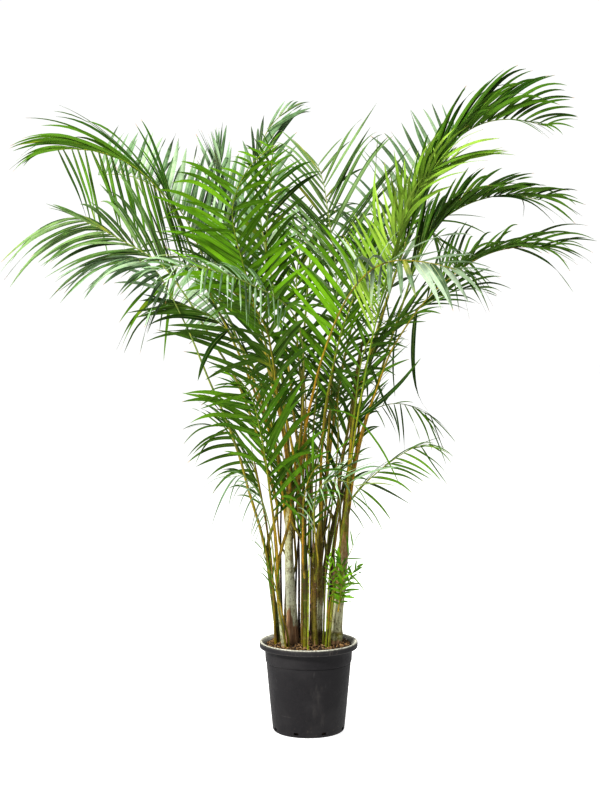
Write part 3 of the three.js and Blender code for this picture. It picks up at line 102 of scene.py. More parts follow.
    ("frond_22", "mid", 16, "-16,-90,493 -16,-98,515 -16,-105,538 -16,-113,560 -16,-121,582 -16,-131,604 -15,-141,626 -15,-151,647 -13,-161,668 -10,-171,689 -5,-182,710 2,-193,730 11,-206,747 23,-219,762 40,-230,774 60,-240,784",
     [(8, 0.1, ".22,-68,0,115 .475,-74,0,118 .678,-41,0,121 .831,13,0,119 .932,57,0,90 1,63,0,55"), (8, 0.18, ".169,78,-30,81 .576,104,-30,36 .746,110,-30,9 .881,117,-30,6 1,94,0,8")], []),
    ("frond_23", "pale", 12, "25,-100,494 23,-108,517 20,-115,540 18,-122,562 16,-132,584 14,-142,605 13,-154,626 13,-166,647 16,-178,668 21,-189,688 30,-201,706 44,-216,719 61,-230,727 80,-243,728 102,-253,724 122,-260,714",
     [(8, 0.2, ".254,-51,-30,64 .458,-37,-30,63 .678,23,-40,-65 .814,29,-40,-80 .915,41,-30,-72 1,39,0,-68"), (8, 0.14, ".39,54,0,112 .661,85,0,83 .78,132,0,65 .881,114,0,48 .949,131,0,34 1,94,0,0")], []),
    ("frond_24", "mid", 15, "-35,0,478 -37,0,508 -39,1,538 -41,1,567 -44,0,597 -47,-2,626 -50,-5,656 -54,-8,685 -59,-11,714 -65,-14,743 -72,-18,771 -80,-22,800 -89,-25,828 -100,-30,855 -113,-34,881 -128,-40,906",
     [(9, 0.08, ".254,-97,0,123 .475,-108,0,127 .678,-117,0,106 .847,-104,0,80 1,-60,0,55"), (9, 0.08, ".254,70,0,139 .475,75,0,138 .678,66,0,123 .847,40,0,119 1,11,0,88")], []),
    ("frond_25", "mid", 15, "72,40,515 75,43,544 77,45,573 80,48,602 83,51,630 86,54,660 89,58,688 92,61,717 96,63,746 101,65,775 109,66,803 119,67,830 131,70,858 144,75,884 157,81,910 171,87,935",
     [(9, 0.08, ".254,-68,0,134 .492,-71,0,138 .678,-56,0,143 .847,-36,0,136 1,-9,0,111"), (9, 0.08, ".254,85,0,89 .492,98,0,82 .678,102,0,93 .847,94,0,91 1,71,0,82")], []),
    ("frond_26", "dark", 24, "87,38,712 102,50,796 121,66,878 146,79,961 171,88,1043 196,98,1124 222,109,1205 249,116,1287 277,122,1368 305,131,1449 334,140,1529 374,140,1605 430,140,1669 506,140,1709 591,140,1716 674,140,1697",
     [(23, 0.09, ".508,45,20,249 .593,44,20,213 .644,63,20,220 .678,93,20,236 .712,115,20,217 .746,141,20,200 .78,169,20,214 .797,175,20,208 .814,178,20,178 .847,168,20,146 .864,172,10,109 .898,183,10,95 .915,176,10,66 .949,138,10,43 .966,121,0,20 1,77,0,17"), (19, 0.1, ".508,90,-50,173 .593,89,-50,177 .678,108,-50,165 .729,116,-50,152 .78,137,-50,139 .831,141,-50,94 .864,170,-40,62 .898,163,-30,39 .915,85,-30,-52 .932,77,-30,-51 .966,61,-20,-30 .983,64,-10,-23 1,68,0,3")], []),
    ("frond_27", "lime", 15, "100,-97,624 106,-108,688 112,-122,752 120,-139,815 128,-160,877 138,-179,939 148,-196,1001 159,-212,1064 171,-228,1127 184,-244,1189 198,-261,1252 214,-275,1314 233,-285,1376 256,-297,1436 286,-300,1494 326,-300,1546",
     [(17, -0.05, ".525,-74,-20,179 .61,-91,-20,161 .661,-92,-20,179 .712,-62,-20,128 .746,-56,-20,114 .78,-36,-20,138 .814,-26,-20,122 .847,-18,-20,144 .864,-3,-10,83 .915,0,-10,64 .949,14,0,74 1,-10,0,56"), (15, 0.03, ".542,76,20,211 .661,71,20,213 .729,90,20,241 .763,105,20,214 .814,136,20,197 .864,122,20,160 .898,179,20,181 .915,219,10,142 .949,214,10,93 1,179,0,38")], [(8, "204,-270,1282 178,-260,1360 167,-260,1458 172,-260,1548 177,-260,1625")]),
    ("frond_28", "deep", 22, "115,-10,676 130,-10,746 145,-10,816 164,-12,885 184,-17,954 205,-20,1023 226,-20,1091 248,-20,1160 270,-27,1228 291,-31,1296 318,-30,1362 362,-30,1419 421,-30,1458 489,-30,1482 560,-30,1490 630,-30,1475",
     [(19, 0.1, ".559,39,20,209 .644,36,20,147 .678,53,20,131 .729,50,20,115 .746,77,20,120 .78,96,20,102 .814,107,20,86 .831,129,20,76 .864,123,10,60 .898,114,10,26 .932,119,10,13 .966,108,0,27 1,98,0,19"), (17, 0.12, ".559,83,-40,148 .678,91,-40,126 .746,108,-40,87 .797,116,-40,58 .847,126,-30,34 .881,132,-30,-50 .915,145,-30,-57 .932,147,-20,-49 .966,132,-10,-22 1,104,0,8")], [(6, "541,-60,1495 569,-70,1488 583,-70,1461 581,-70,1426")]),
    ("frond_29", "grey", 15, "114,-30,636 121,-44,701 129,-59,765 140,-75,828 158,-93,890 179,-113,949 198,-135,1009 220,-157,1067 252,-177,1122 286,-200,1174 328,-217,1222 376,-230,1265 430,-241,1303 491,-240,1328 556,-240,1338 622,-240,1332",
     [(17, 0.14, ".644,51,20,199 .695,51,20,177 .729,54,20,170 .763,51,20,103 .78,84,20,111 .814,79,20,83 .847,71,20,81 .881,115,20,67 .898,148,20,53 .932,196,10,52 .966,163,0,21 1,91,0,10"), (16, 0.18, ".644,104,-50,133 .712,132,-50,102 .763,164,-50,86 .797,177,-50,41 .847,195,-40,23 .881,187,-30,-19 .932,121,-20,-40 .966,110,-10,-18 1,114,0,23")], []),
    ("frond_30", "palest", 19, "-24,-100,739 -17,-115,795 -10,-131,850 0,-151,905 12,-172,959 24,-193,1012 40,-215,1065 58,-238,1117 78,-264,1166 102,-294,1212 132,-325,1252 168,-361,1282 216,-392,1297 267,-421,1294 320,-445,1284 375,-460,1268",
     [(10, 0.18, ".729,-8,-40,-83 .763,-2,-40,-74 .797,3,-50,-94 .831,21,-50,-80 .847,54,-50,-84 .881,59,-50,-96 .915,34,-40,-81 .949,60,-30,-69 1,59,0,-42"), (9, 0.1, ".576,-70,50,144 .678,-58,60,106 .746,159,60,111 .763,212,60,114 .797,198,60,64 .847,163,50,23 .915,146,40,10 .949,121,30,-9 1,94,0,-12")], [(17, "158,-370,1276 139,-380,1303 119,-400,1303 116,-410,1272 121,-410,1228"), (17, "189,-390,1291 164,-400,1310 145,-420,1292 142,-430,1259 147,-430,1217")]),
    ("frond_31", "deep", 17, "117,61,696 127,68,743 137,74,790 142,80,836 145,88,883 149,96,929 159,103,975 173,108,1020 193,114,1063 220,120,1101 252,128,1136 288,136,1165 328,141,1190 370,140,1212 415,140,1229 462,140,1238",
     [(13, 0.08, ".407,54,0,174 .508,64,0,168 .593,66,0,152 .661,80,0,145 .729,107,0,138 .78,145,0,129 .847,155,0,94 .898,150,0,63 .949,133,0,27 1,86,0,11"), (11, 0.08, ".407,93,-20,100 .593,99,-20,55 .678,127,-20,51 .78,115,-20,27 .864,99,-20,-16 .932,137,-10,10 1,94,0,-11")], [(13, "310,100,1190 298,90,1119 295,80,1029 304,80,955 318,80,918 338,80,890"), (5, "254,100,1147 242,90,1077 239,80,1001 245,80,927")]),
    ("frond_32", "grey", 10, "67,70,439 72,73,482 78,76,526 84,80,570 91,87,613 99,94,656 107,102,699 116,112,741 127,122,782 140,133,823 159,143,862 190,151,891 231,160,905 274,170,905 315,170,891 354,170,870",
     [(7, 0.12, ".746,44,0,-65 .814,37,0,-100 .864,22,0,-81 .898,58,0,-99 .949,65,0,-100 1,47,0,-70"), (8, 0.1, ".525,39,0,113 .644,48,0,98 .729,47,0,91 .797,35,0,35 .847,84,0,-19 .932,83,0,-38 1,67,0,-78")], []),
    ("frond_33", "grey", 12, "86,-50,486 87,-53,517 88,-56,548 91,-62,577 96,-70,606 104,-80,634 116,-93,660 131,-108,683 149,-120,704 171,-127,725 193,-134,745 216,-141,764 240,-148,782 266,-151,798 294,-150,810 325,-150,816",
     [(10, 0.14, ".356,50,-20,-59 .508,88,-30,-93 .593,106,-30,-25 .678,100,-30,-20 .78,94,-20,-45 .864,93,-20,-66 .932,81,-10,-55 1,54,0,-38"), (9, 0.1, ".356,73,20,79 .508,69,20,77 .61,79,20,79 .729,107,20,67 .831,102,20,32 .915,96,10,-1 1,59,0,-22")], []),
    ("frond_34", "bright", 12, "53,-50,297 55,-50,314 56,-50,331 57,-50,348 60,-50,366 62,-50,382 66,-49,399 70,-50,416 75,-52,432 81,-56,448 88,-59,463 96,-63,478 104,-67,492 112,-71,507 118,-76,522 124,-80,538",
     [(5, 0.12, ".305,42,0,22 .492,48,0,-13 .661,60,0,-35 .763,58,0,-15 1,19,0,36"), (4, 0.1, ".356,-26,0,98 .61,-23,0,79 .763,-11,0,82 1,0,0,47")], []),
    ("frond_35", "mid", 10, "-65,-69,310 -68,-71,324 -72,-73,339 -75,-75,354 -78,-77,368 -82,-79,383 -86,-81,398 -90,-84,412 -94,-87,427 -99,-90,441 -103,-93,455 -108,-96,470 -113,-99,484 -118,-102,498 -123,-106,512 -127,-110,526",
     [(3, 0.08, ".424,-51,0,61 .695,-44,0,54 1,-22,0,36"), (3, 0.08, ".424,14,0,83 .695,11,0,76 1,0,0,46")], []),
    ("frond_36", "dark", 20, "-30,75,637 -27,88,718 -21,102,799 -19,112,880 -19,128,959 -16,154,1037 -12,186,1112 -6,222,1185 -1,263,1256 5,310,1322 12,366,1382 19,430,1431 25,507,1457 30,588,1450 31,659,1411 30,720,1357",
     [(12, 0.14, ".45,-181,-1,84 .55,-201,32,119 .65,-189,99,140 .75,-144,175,96 .85,-102,228,-42 .93,-75,185,-159 1,-45,168,-154"), (12, 0.14, ".45,182,-38,76 .55,209,-11,112 .65,212,56,134 .75,173,147,96 .85,124,217,-44 .93,76,179,-167 1,46,165,-159")], []),
    ("frond_37", "mid", 20, "45,95,637 55,106,716 64,117,795 74,129,874 87,146,951 102,170,1026 119,198,1100 138,230,1171 160,265,1240 187,304,1304 221,348,1362 262,398,1410 309,454,1441 363,512,1435 411,562,1396 450,600,1337",
     [(12, 0.14, ".45,-157,97,67 .55,-156,134,104 .65,-105,184,129 .75,-23,212,101 .85,67,232,-45 .93,63,169,-174 1,72,136,-170"), (12, 0.14, ".45,125,-115,88 .55,161,-107,119 .65,201,-58,132 .75,214,16,99 .85,227,84,-42 .93,172,71,-166 1,138,77,-165")], []),
    ("frond_38", "mid", 20, "-51,76,677 -59,92,750 -72,104,823 -85,119,895 -100,140,966 -118,167,1033 -139,198,1097 -163,233,1159 -190,271,1218 -222,313,1270 -259,360,1316 -302,412,1347 -351,467,1346 -398,518,1318 -436,562,1272 -470,600,1217",
     [(12, 0.14, ".45,-133,-102,81 .55,-172,-87,107 .65,-212,-34,112 .75,-236,45,36 .85,-215,80,-95 .93,-157,74,-168 1,-127,82,-160"), (12, 0.14, ".45,140,104,71 .55,132,147,101 .65,83,199,112 .75,-11,239,38 .85,-59,221,-101 .93,-48,165,-171 1,-62,137,-162")], []),
    ("frond_39", "dark", 18, "-40,75,567 -44,96,625 -49,116,683 -54,136,741 -58,161,798 -63,190,852 -69,224,904 -75,263,951 -81,308,993 -89,360,1024 -96,418,1043 -103,479,1044 -108,537,1023 -110,589,990 -111,631,945 -110,670,897",
     [(10, 0.14, ".45,-111,-7,47 .55,-130,27,58 .65,-133,85,42 .75,-107,126,-31 .85,-74,120,-85 .93,-46,91,-121 1,-28,85,-112"), (10, 0.14, ".45,107,22,50 .55,115,60,61 .65,107,116,43 .75,83,143,-30 .85,60,129,-81 .93,45,97,-115 1,27,88,-109")], []),
    ("frond_40", "deep", 18, "45,110,537 48,129,590 52,146,644 55,165,698 58,186,750 61,213,800 64,245,846 67,281,890 70,322,930 71,368,962 70,421,982 70,477,985 70,529,964 70,576,932 70,614,891 70,650,847",
     [(10, 0.14, ".45,-102,13,47 .55,-115,40,59 .65,-116,91,43 .75,-90,128,-28 .85,-63,117,-81 .93,-42,90,-110 1,-26,82,-104"), (10, 0.14, ".45,105,1,44 .55,118,30,59 .65,112,92,46 .75,91,127,-30 .85,65,115,-84 .93,44,88,-112 1,26,81,-105")], []),
    ("frond_41", "grey", 16, "0,90,517 2,112,564 3,133,611 4,156,657 5,183,701 4,214,742 3,248,780 1,284,816 -1,326,847 -5,372,869 -10,422,877 -11,472,864 -10,515,837 -10,553,803 -10,583,761 -10,610,717",
     [(10, 0.14, ".45,-105,11,43 .55,-122,41,49 .65,-123,98,22 .75,-90,125,-59 .85,-64,107,-98 .93,-43,77,-122 1,-26,71,-114"), (10, 0.14, ".45,102,19,46 .55,111,57,56 .65,105,116,23 .75,91,125,-57 .85,64,108,-97 .93,43,78,-121 1,26,72,-113")], []),
]

POT_HEIGHT, RIM_R, RIM_DEPTH, COLLAR_R, COLLAR_FOOT_R, STEP_Z = 252.0, 137.0, 17.5, 122.0, 120.0, 194.0
BODY_TOP_R, BODY_FOOT_R, FOOT_ROUND, WALL, FLOOR = 118.0, 100.5, 8.0, 3.2, 4.0
SOIL_Z = 245.0
COUNT = 1.2  # leaflets for each one counted in the table
WIDE = 0.64  # leaflet width factor
WORLD, SKY, KEY, FILL, TOP = 1.03, 0.15, 560.0, 10.0, 90.0
DRAIN_COUNT, DRAIN_W, DRAIN_H = 8, 14.0, 7.0


# ------------------------------------------------------------------ small maths
def pts(text):
    return np.array([[float(c) for c in w.split(",")] for w in text.split(" ")])


def unit(v):
    return v / np.maximum(np.linalg.norm(v, axis=-1, keepdims=True), 1e-9)


def catmull(P, m):
    """m points evenly spaced along a centripetal Catmull-Rom curve through P."""
    P = np.asarray(P, float)
    if len(P) == 2:
        return P[0] + (P[1] - P[0]) * np.linspace(0, 1, m)[:, None]
    Q = np.vstack([2 * P[0] - P[1], P, 2 * P[-1] - P[-2]])
    out = []
    for i in range(1, len(Q) - 2):
        p0, p1, p2, p3 = Q[i - 1], Q[i], Q[i + 1], Q[i + 2]
        d1, d2, d3 = (max(np.linalg.norm(b - a), 1e-6) ** 0.5 for a, b in ((p0, p1), (p1, p2), (p2, p3)))
        t0, t1 = 0.0, d1
        t2, t3 = t1 + d2, t1 + d2 + d3
        t = np.linspace(t1, t2, 14, endpoint=False)[:, None]
        a1 = (t1 - t) / (t1 - t0) * p0 + (t - t0) / (t1 - t0) * p1
        a2 = (t2 - t) / (t2 - t1) * p1 + (t - t1) / (t2 - t1) * p2
        a3 = (t3 - t) / (t3 - t2) * p2 + (t - t2) / (t3 - t2) * p3
        b1 = (t2 - t) / (t2 - t0) * a1 + (t - t0) / (t2 - t0) * a2
        b2 = (t3 - t) / (t3 - t1) * a2 + (t - t1) / (t3 - t1) * a3
        out.append((t2 - t) / (t2 - t1) * b1 + (t - t1) / (t2 - t1) * b2)
    C = np.vstack(out + [P[-1:]])
    s = np.concatenate([[0], np.cumsum(np.linalg.norm(np.diff(C, axis=0), axis=1))])
    at = np.linspace(0, s[-1], m)
    return np.stack([np.interp(at, s, C[:, k]) for k in range(3)], 1)


def at(line, t):
    """Points of a polyline at fractions t."""
    t = np.clip(np.asarray(t, float), 0, 1) * (len(line) - 1)
    return np.stack([np.interp(t, np.arange(len(line)), line[:, k]) for k in range(line.shape[1])], -1)


def tangents(C):
    return unit(np.gradient(C, axis=-2))


def rotate(v, k, a):
    a = a[..., None]
    return v * np.cos(a) + np.cross(k, v) * np.sin(a) + k * (np.sum(k * v, -1, keepdims=True)) * (1 - np.cos(a))


def step(x, a, b):
    x = np.clip((x - a) / (b - a), 0, 1)
    return x * x * (3 - 2 * x)


def frames(C, first=(0.0, 1.0, 0.0)):
    """Untwisted frames along a polyline."""
    T = tangents(C)
    U = np.zeros_like(C)
    u = np.array(first, float)
    for i in range(len(C)):
        u = u - T[i] * (u @ T[i])
        if np.linalg.norm(u) < 0.1:
            u = np.cross(T[i], (1.0, 0.3, 0.2))
        u = u / np.linalg.norm(u)
        U[i] = u
    return T, U, np.cross(T, U)


class Pile:
    """Collects grids of rings into one mesh, with point values, face values and a bake map."""

    def __init__(self, names):
        self.names = names
        self.v, self.q, self.caps, self.n = [], [], [], 0
        self.val = {k: [] for k in names}
        self.mat, self.under = [], []
        self.cells = []  # (number of cells, quads' corner uv inside a cell)

    def tubes(self, P, vals, mat=0, under=None, cap=True, ucoord=None):
        """P: (N, R, K, 3) closed rings. Each of the N tubes gets a cell of the bake map."""
        N, R, K, _ = P.shape
        base = self.n + np.arange(N)[:, None, None] * R * K
        r = np.arange(R - 1)[None, :, None]
        k = np.arange(K)[None, None, :]
        k2 = (k + 1) % K
        quad = np.stack([base + r * K + k, base + r * K + k2, base + (r + 1) * K + k2, base + (r + 1) * K + k], -1)
        self.v.append(P.reshape(-1, 3))
        self.q.append(quad.reshape(-1, 4))
        for name in self.names:
            a = np.broadcast_to(np.asarray(vals.get(name, 0.0), float), (N, R, K))
            self.val[name].append(a.reshape(-1))
        m = N * (R - 1) * K
        self.mat.append(np.full(m, mat))
        un = np.zeros(K) if under is None else np.asarray(under, float)
        self.under.append(np.broadcast_to(un, (N, R - 1, K)).reshape(-1))
        uu = np.linspace(0, 1, K + 1) if ucoord is None else np.asarray(ucoord, float)
        vv = np.linspace(0, 1, R)
        a0, a1 = uu[:-1][None, :], uu[1:][None, :]
        b0, b1 = vv[:-1][:, None], vv[1:][:, None]
        z = np.zeros((R - 1, K))
        one = np.stack([np.stack([a0 + z, b0 + z], -1), np.stack([a1 + z, b0 + z], -1), np.stack([a1 + z, b1 + z], -1), np.stack([a0 + z, b1 + z], -1)], -2)
        self.cells.append((N, one.reshape(-1, 4, 2)))
        if cap:
            for t in range(N):
                b = self.n + t * R * K
                self.caps.append((list(range(b + K - 1, b - 1, -1)), mat))
                self.caps.append((list(range(b + (R - 1) * K, b + R * K)), mat))
        self.n += N * R * K

    def make(self, name, materials, sharp=28.0, aspect=5.0):
        V = np.concatenate(self.v) * MM
        Q = np.concatenate(self.q)
        mesh = bpy.data.meshes.new(name)
        nq = len(Q)
        capv = [i for c, _ in self.caps for i in c]
        loops = np.concatenate([Q.reshape(-1), np.array(capv, int)]) if capv else Q.reshape(-1)
        sizes = np.concatenate([np.full(nq, 4), np.array([len(c) for c, _ in self.caps], int)]) if capv else np.full(nq, 4)
        starts = np.concatenate([[0], np.cumsum(sizes)[:-1]])
        mesh.vertices.add(len(V))
        mesh.vertices.foreach_set("co", V.astype(np.float32).reshape(-1))
        mesh.loops.add(len(loops))
        mesh.loops.foreach_set("vertex_index", loops.astype(np.int32))
        mesh.polygons.add(len(sizes))
        mesh.polygons.foreach_set("loop_start", starts.astype(np.int32))
        mesh.polygons.foreach_set("loop_total", sizes.astype(np.int32))
        mat = np.concatenate(self.mat + [np.array([m for _, m in self.caps], int)]) if capv else np.concatenate(self.mat)
        mesh.polygons.foreach_set("material_index", mat.astype(np.int32))
        mesh.update(calc_edges=True)
        mesh.validate()
        for k in self.names:
            a = mesh.attributes.new(k, "FLOAT", "POINT")
            a.data.foreach_set("value", np.concatenate(self.val[k]).astype(np.float32))
        un = np.concatenate(self.under + [np.zeros(len(self.caps))])
        a = mesh.attributes.new("under", "FLOAT", "FACE")
        a.data.foreach_set("value", un.astype(np.float32))
        # the bake map: one cell for each tube
        total = sum(n for n, _ in self.cells)
        cols = max(1, int(math.ceil(math.sqrt(total * aspect))))
        rows = int(math.ceil(total / cols))
        uv = []
        i = 0
        for n, one in self.cells:
            for _ in range(n):
                c, r = i % cols, i // cols
                uv.append((np.array([c, r]) + 0.08 + one * 0.84) / (cols, rows))
                i += 1
        uv = np.concatenate(uv).reshape(-1, 2)
        if capv:
            first = {}
            capuv = []
            for c, _ in self.caps:
                mid = np.array([0.5 / cols * 0.02, 0.5 / rows * 0.02])
                ang = np.linspace(0, 2 * math.pi, len(c), endpoint=False)
                capuv += [[mid[0] * (1 + 0.8 * math.cos(x)), mid[1] * (1 + 0.8 * math.sin(x))] for x in ang]
            uv = np.concatenate([uv, np.array(capuv)])
        layer = mesh.uv_layers.new(name="OFBake")
        layer.data.foreach_set("uv", uv.astype(np.float32).reshape(-1))
        mesh.polygons.foreach_set("use_smooth", np.ones(len(sizes), bool))
        if sharp:
            mesh.set_sharp_from_angle(angle=math.radians(sharp))
        for m in materials:
            mesh.materials.append(m)
        ob = bpy.data.objects.new(name, mesh)
        bpy.context.scene.collection.objects.link(ob)
        return ob


# ------------------------------------------------------------------ materials
class Nodes:
    def __init__(self, name):
        self.mat = bpy.data.materials.new(name)
        self.mat.use_nodes = True
        self.t = self.mat.node_tree
        self.t.nodes.clear()
        self.out = self.t.nodes.new("ShaderNodeOutputMaterial")

    def add(self, kind, **props):
        n = self.t.nodes.new(kind)
        for k, v in props.items():
            setattr(n, k, v)
        return n

    def link(self, a, b):
        self.t.links.new(a, b)

    def attr(self, name):
        n = self.add("ShaderNodeAttribute", attribute_name=name, attribute_type="GEOMETRY")
        return n.outputs["Fac"]

    def color_attr(self, name):
        n = self.add("ShaderNodeAttribute", attribute_name=name, attribute_type="GEOMETRY")
        return n.outputs["Color"]

    def put(self, socket, v):
        if isinstance(v, bpy.types.NodeSocket):
            self.link(v, socket)
        elif isinstance(v, (tuple, list)) and len(v) == 3 and socket.type == "RGBA":
            socket.default_value = (*v, 1.0)
        else:
            socket.default_value = v

    def math(self, op, a, b=0.0, c=0.0, clamp=False):
        n = self.add("ShaderNodeMath", operation=op, use_clamp=clamp)
        for i, v in enumerate((a, b, c)):
            self.put(n.inputs[i], v)
        return n.outputs[0]

    def span(self, v, a, b, lo=0.0, hi=1.0, smooth=True):
        n = self.add("ShaderNodeMapRange", interpolation_type="SMOOTHSTEP" if smooth else "LINEAR")
        for i, x in enumerate((v, a, b, lo, hi)):
            self.put(n.inputs[i], x)
        return n.outputs[0]

    def mix(self, f, a, b, mode="MIX"):
        n = self.add("ShaderNodeMix", data_type="RGBA", blend_type=mode, clamp_result=False)
        self.put(n.inputs[0], f)
        self.put(n.inputs[6], a)
        self.put(n.inputs[7], b)
        return n.outputs[2]

    def ramp(self, f, stops, interp="LINEAR"):
        n = self.add("ShaderNodeValToRGB")
        n.color_ramp.interpolation = interp
        e = n.color_ramp.elements
        while len(e) < len(stops):
            e.new(0.5)
        for i, (p, c) in enumerate(stops):
            e[i].position = p
            e[i].color = (*c, 1.0) if len(c) == 3 else c
        self.link(f, n.inputs[0])
        return n.outputs[0]

    def obj(self, scale=(1.0, 1.0, 1.0)):
        c = self.add("ShaderNodeTexCoord")
        m = self.add("ShaderNodeMapping")
        m.inputs["Scale"].default_value = scale
        self.link(c.outputs["Object"], m.inputs[0])
        return m.outputs[0]

    def noise(self, vec, scale, detail=4.0, rough=0.55, distort=0.0):
        n = self.add("ShaderNodeTexNoise")
        self.link(vec, n.inputs["Vector"])
        n.inputs["Scale"].default_value = scale
        n.inputs["Detail"].default_value = detail
        n.inputs["Roughness"].default_value = rough
        n.inputs["Distortion"].default_value = distort
        return n.outputs[0]

    def voronoi(self, vec, scale, feature="F1", out=0):
        n = self.add("ShaderNodeTexVoronoi", feature=feature)
        self.link(vec, n.inputs["Vector"])
        n.inputs["Scale"].default_value = scale
        return n.outputs[out]

    def xyz(self, x, y, z):
        n = self.add("ShaderNodeCombineXYZ")
        for i, v in enumerate((x, y, z)):
            self.put(n.inputs[i], v)
        return n.outputs[0]

    def bump(self, h, strength, distance, normal=None):
        n = self.add("ShaderNodeBump")
        n.inputs["Strength"].default_value = strength
        n.inputs["Distance"].default_value = distance
        self.link(h, n.inputs["Height"])
        if normal is not None:
            self.link(normal, n.inputs["Normal"])
        return n.outputs[0]

    def principled(self, color, rough, normal=None, spec=0.5, coat=0.0, coat_rough=0.2, sheen=0.0):
        p = self.add("ShaderNodeBsdfPrincipled")
        self.put(p.inputs["Base Color"], color)
        self.put(p.inputs["Roughness"], rough)
        p.inputs["Specular IOR Level"].default_value = spec
        p.inputs["Coat Weight"].default_value = coat
        p.inputs["Coat Roughness"].default_value = coat_rough
        p.inputs["Sheen Weight"].default_value = sheen
        if normal is not None:
            self.link(normal, p.inputs["Normal"])
        return p.outputs[0]

    def done(self, shader):
        self.link(shader, self.out.inputs["Surface"])
        return self.mat


def scaled(c, k):
    return tuple(min(1.0, x * k) for x in c)


def blend3(a, b, f):
    return tuple(x + (y - x) * f for x, y in zip(a, b))


def leaf_material(name, dark, base, light, under, thin=0.24, rough=0.42, warm=0.5):
    """Palm leaflet. Point values: along 0-1, across -1..1, rnd and rnd2 for each leaflet."""
    m = Nodes(name)
    along, across, rnd, rnd2, und = (m.attr(k) for k in ("along", "across", "rnd", "rnd2", "under"))
    o = m.obj()
    col = m.ramp(rnd, [(0.0, scaled(dark, 0.28)), (0.24, scaled(dark, 0.85)), (0.55, base), (0.84, light), (1.0, scaled(light, 1.2))])
    # base of the leaflet deeper, tip a little lighter
    col = m.mix(m.span(along, 0.0, 0.4, 0.6, 0.0), col, scaled(dark, 0.6))
    col = m.mix(m.span(along, 0.55, 1.0, 0.0, 0.35), col, light)
    # clouding along the blade
    cloud = m.noise(o, 34.0, 4.0, 0.6)
    col = m.mix(m.span(cloud, 0.42, 0.7, 0.0, 0.5), col, scaled(base, 1.35))
    col = m.mix(m.span(cloud, 0.58, 0.3, 0.0, 0.4), col, scaled(dark, 0.75))
    # parallel veins
    wob = m.noise(m.xyz(across, m.math("MULTIPLY", along, 3.0), rnd), 2.0, 2.0)
    v = m.math("MULTIPLY_ADD", across, 42.0, m.math("MULTIPLY", wob, 6.0))
    vein = m.math("SINE", v)
    fine = m.math("SINE", m.math("MULTIPLY", v, 2.7))
    veins = m.math("ADD", m.math("MULTIPLY", vein, 0.6), m.math("MULTIPLY", fine, 0.4))
    col = m.mix(m.span(veins, -0.2, 0.9, 0.0, 0.22), col, scaled(light, 1.1))
    col = m.mix(m.span(veins, 0.1, -0.9, 0.0, 0.25), col, scaled(dark, 0.8))
    # midrib, and a pale margin on every leaflet that is a painted highlight, the light catching the leaflet edges
    away = m.math("ABSOLUTE", across)
    rib = m.span(away, 0.02, 0.11, 1.0, 0.0)
    col = m.mix(m.math("MULTIPLY", rib, m.span(along, 0.0, 0.8, 0.6, 0.15)), col, blend3(light, (0.62, 0.6, 0.22), 0.55))
    # painted highlight: the outer edge of each leaflet is mixed towards a pale yellow as if lit
    col = m.mix(m.span(away, 0.9, 1.0, 0.0, 0.35), col, blend3(light, (0.5, 0.45, 0.12), 0.4))
    # underside: greyer and paler
    col = m.mix(m.math("MULTIPLY", und, 0.5), col, under)
    # dry tips, rust flecks and yellow patches on some leaflets
    edge = m.math("MULTIPLY_ADD", m.noise(o, 160.0, 3.0), 0.05, along)
    dry = m.math("MULTIPLY", m.span(edge, 0.975, 1.005), m.span(rnd2, 0.5, 0.75))
    col = m.mix(dry, col, (0.30, 0.17, 0.06))
    fleck = m.math("MULTIPLY", m.span(m.voronoi(o, 150.0), 0.16, 0.09), m.span(m.noise(o, 22.0, 2.0), 0.56, 0.66))
    col = m.mix(m.math("MULTIPLY", fleck, 0.7), col, (0.16, 0.085, 0.03))
    old = m.math("MULTIPLY", m.span(rnd2, 0.96, 0.985), m.span(m.noise(o, 14.0, 2.0), 0.45, 0.7))
    col = m.mix(m.math("MULTIPLY", old, 0.4), col, (0.36, 0.34, 0.02))
    h = m.math("ADD", m.math("MULTIPLY", veins, 0.5), m.math("MULTIPLY", m.noise(o, 220.0, 3.0), 0.6))
    nrm = m.bump(h, 0.35, 0.0006)
    r = m.span(m.noise(o, 60.0, 3.0), 0.3, 0.7, rough - 0.07, rough + 0.12)
    r = m.math("ADD", r, m.math("MULTIPLY", und, 0.12))
    p = m.principled(col, r, nrm, spec=0.08)
    tr = m.add("ShaderNodeBsdfTranslucent")
    glow = m.mix(warm * 0.5, col, (0.40, 0.56, 0.03))
    m.link(glow, tr.inputs["Color"])
    m.link(nrm, tr.inputs["Normal"])
    mx = m.add("ShaderNodeMixShader")
    mx.inputs[0].default_value = thin
    m.link(p, mx.inputs[1])
    m.link(tr.outputs[0], mx.inputs[2])
    return m.done(mx.outputs[0])


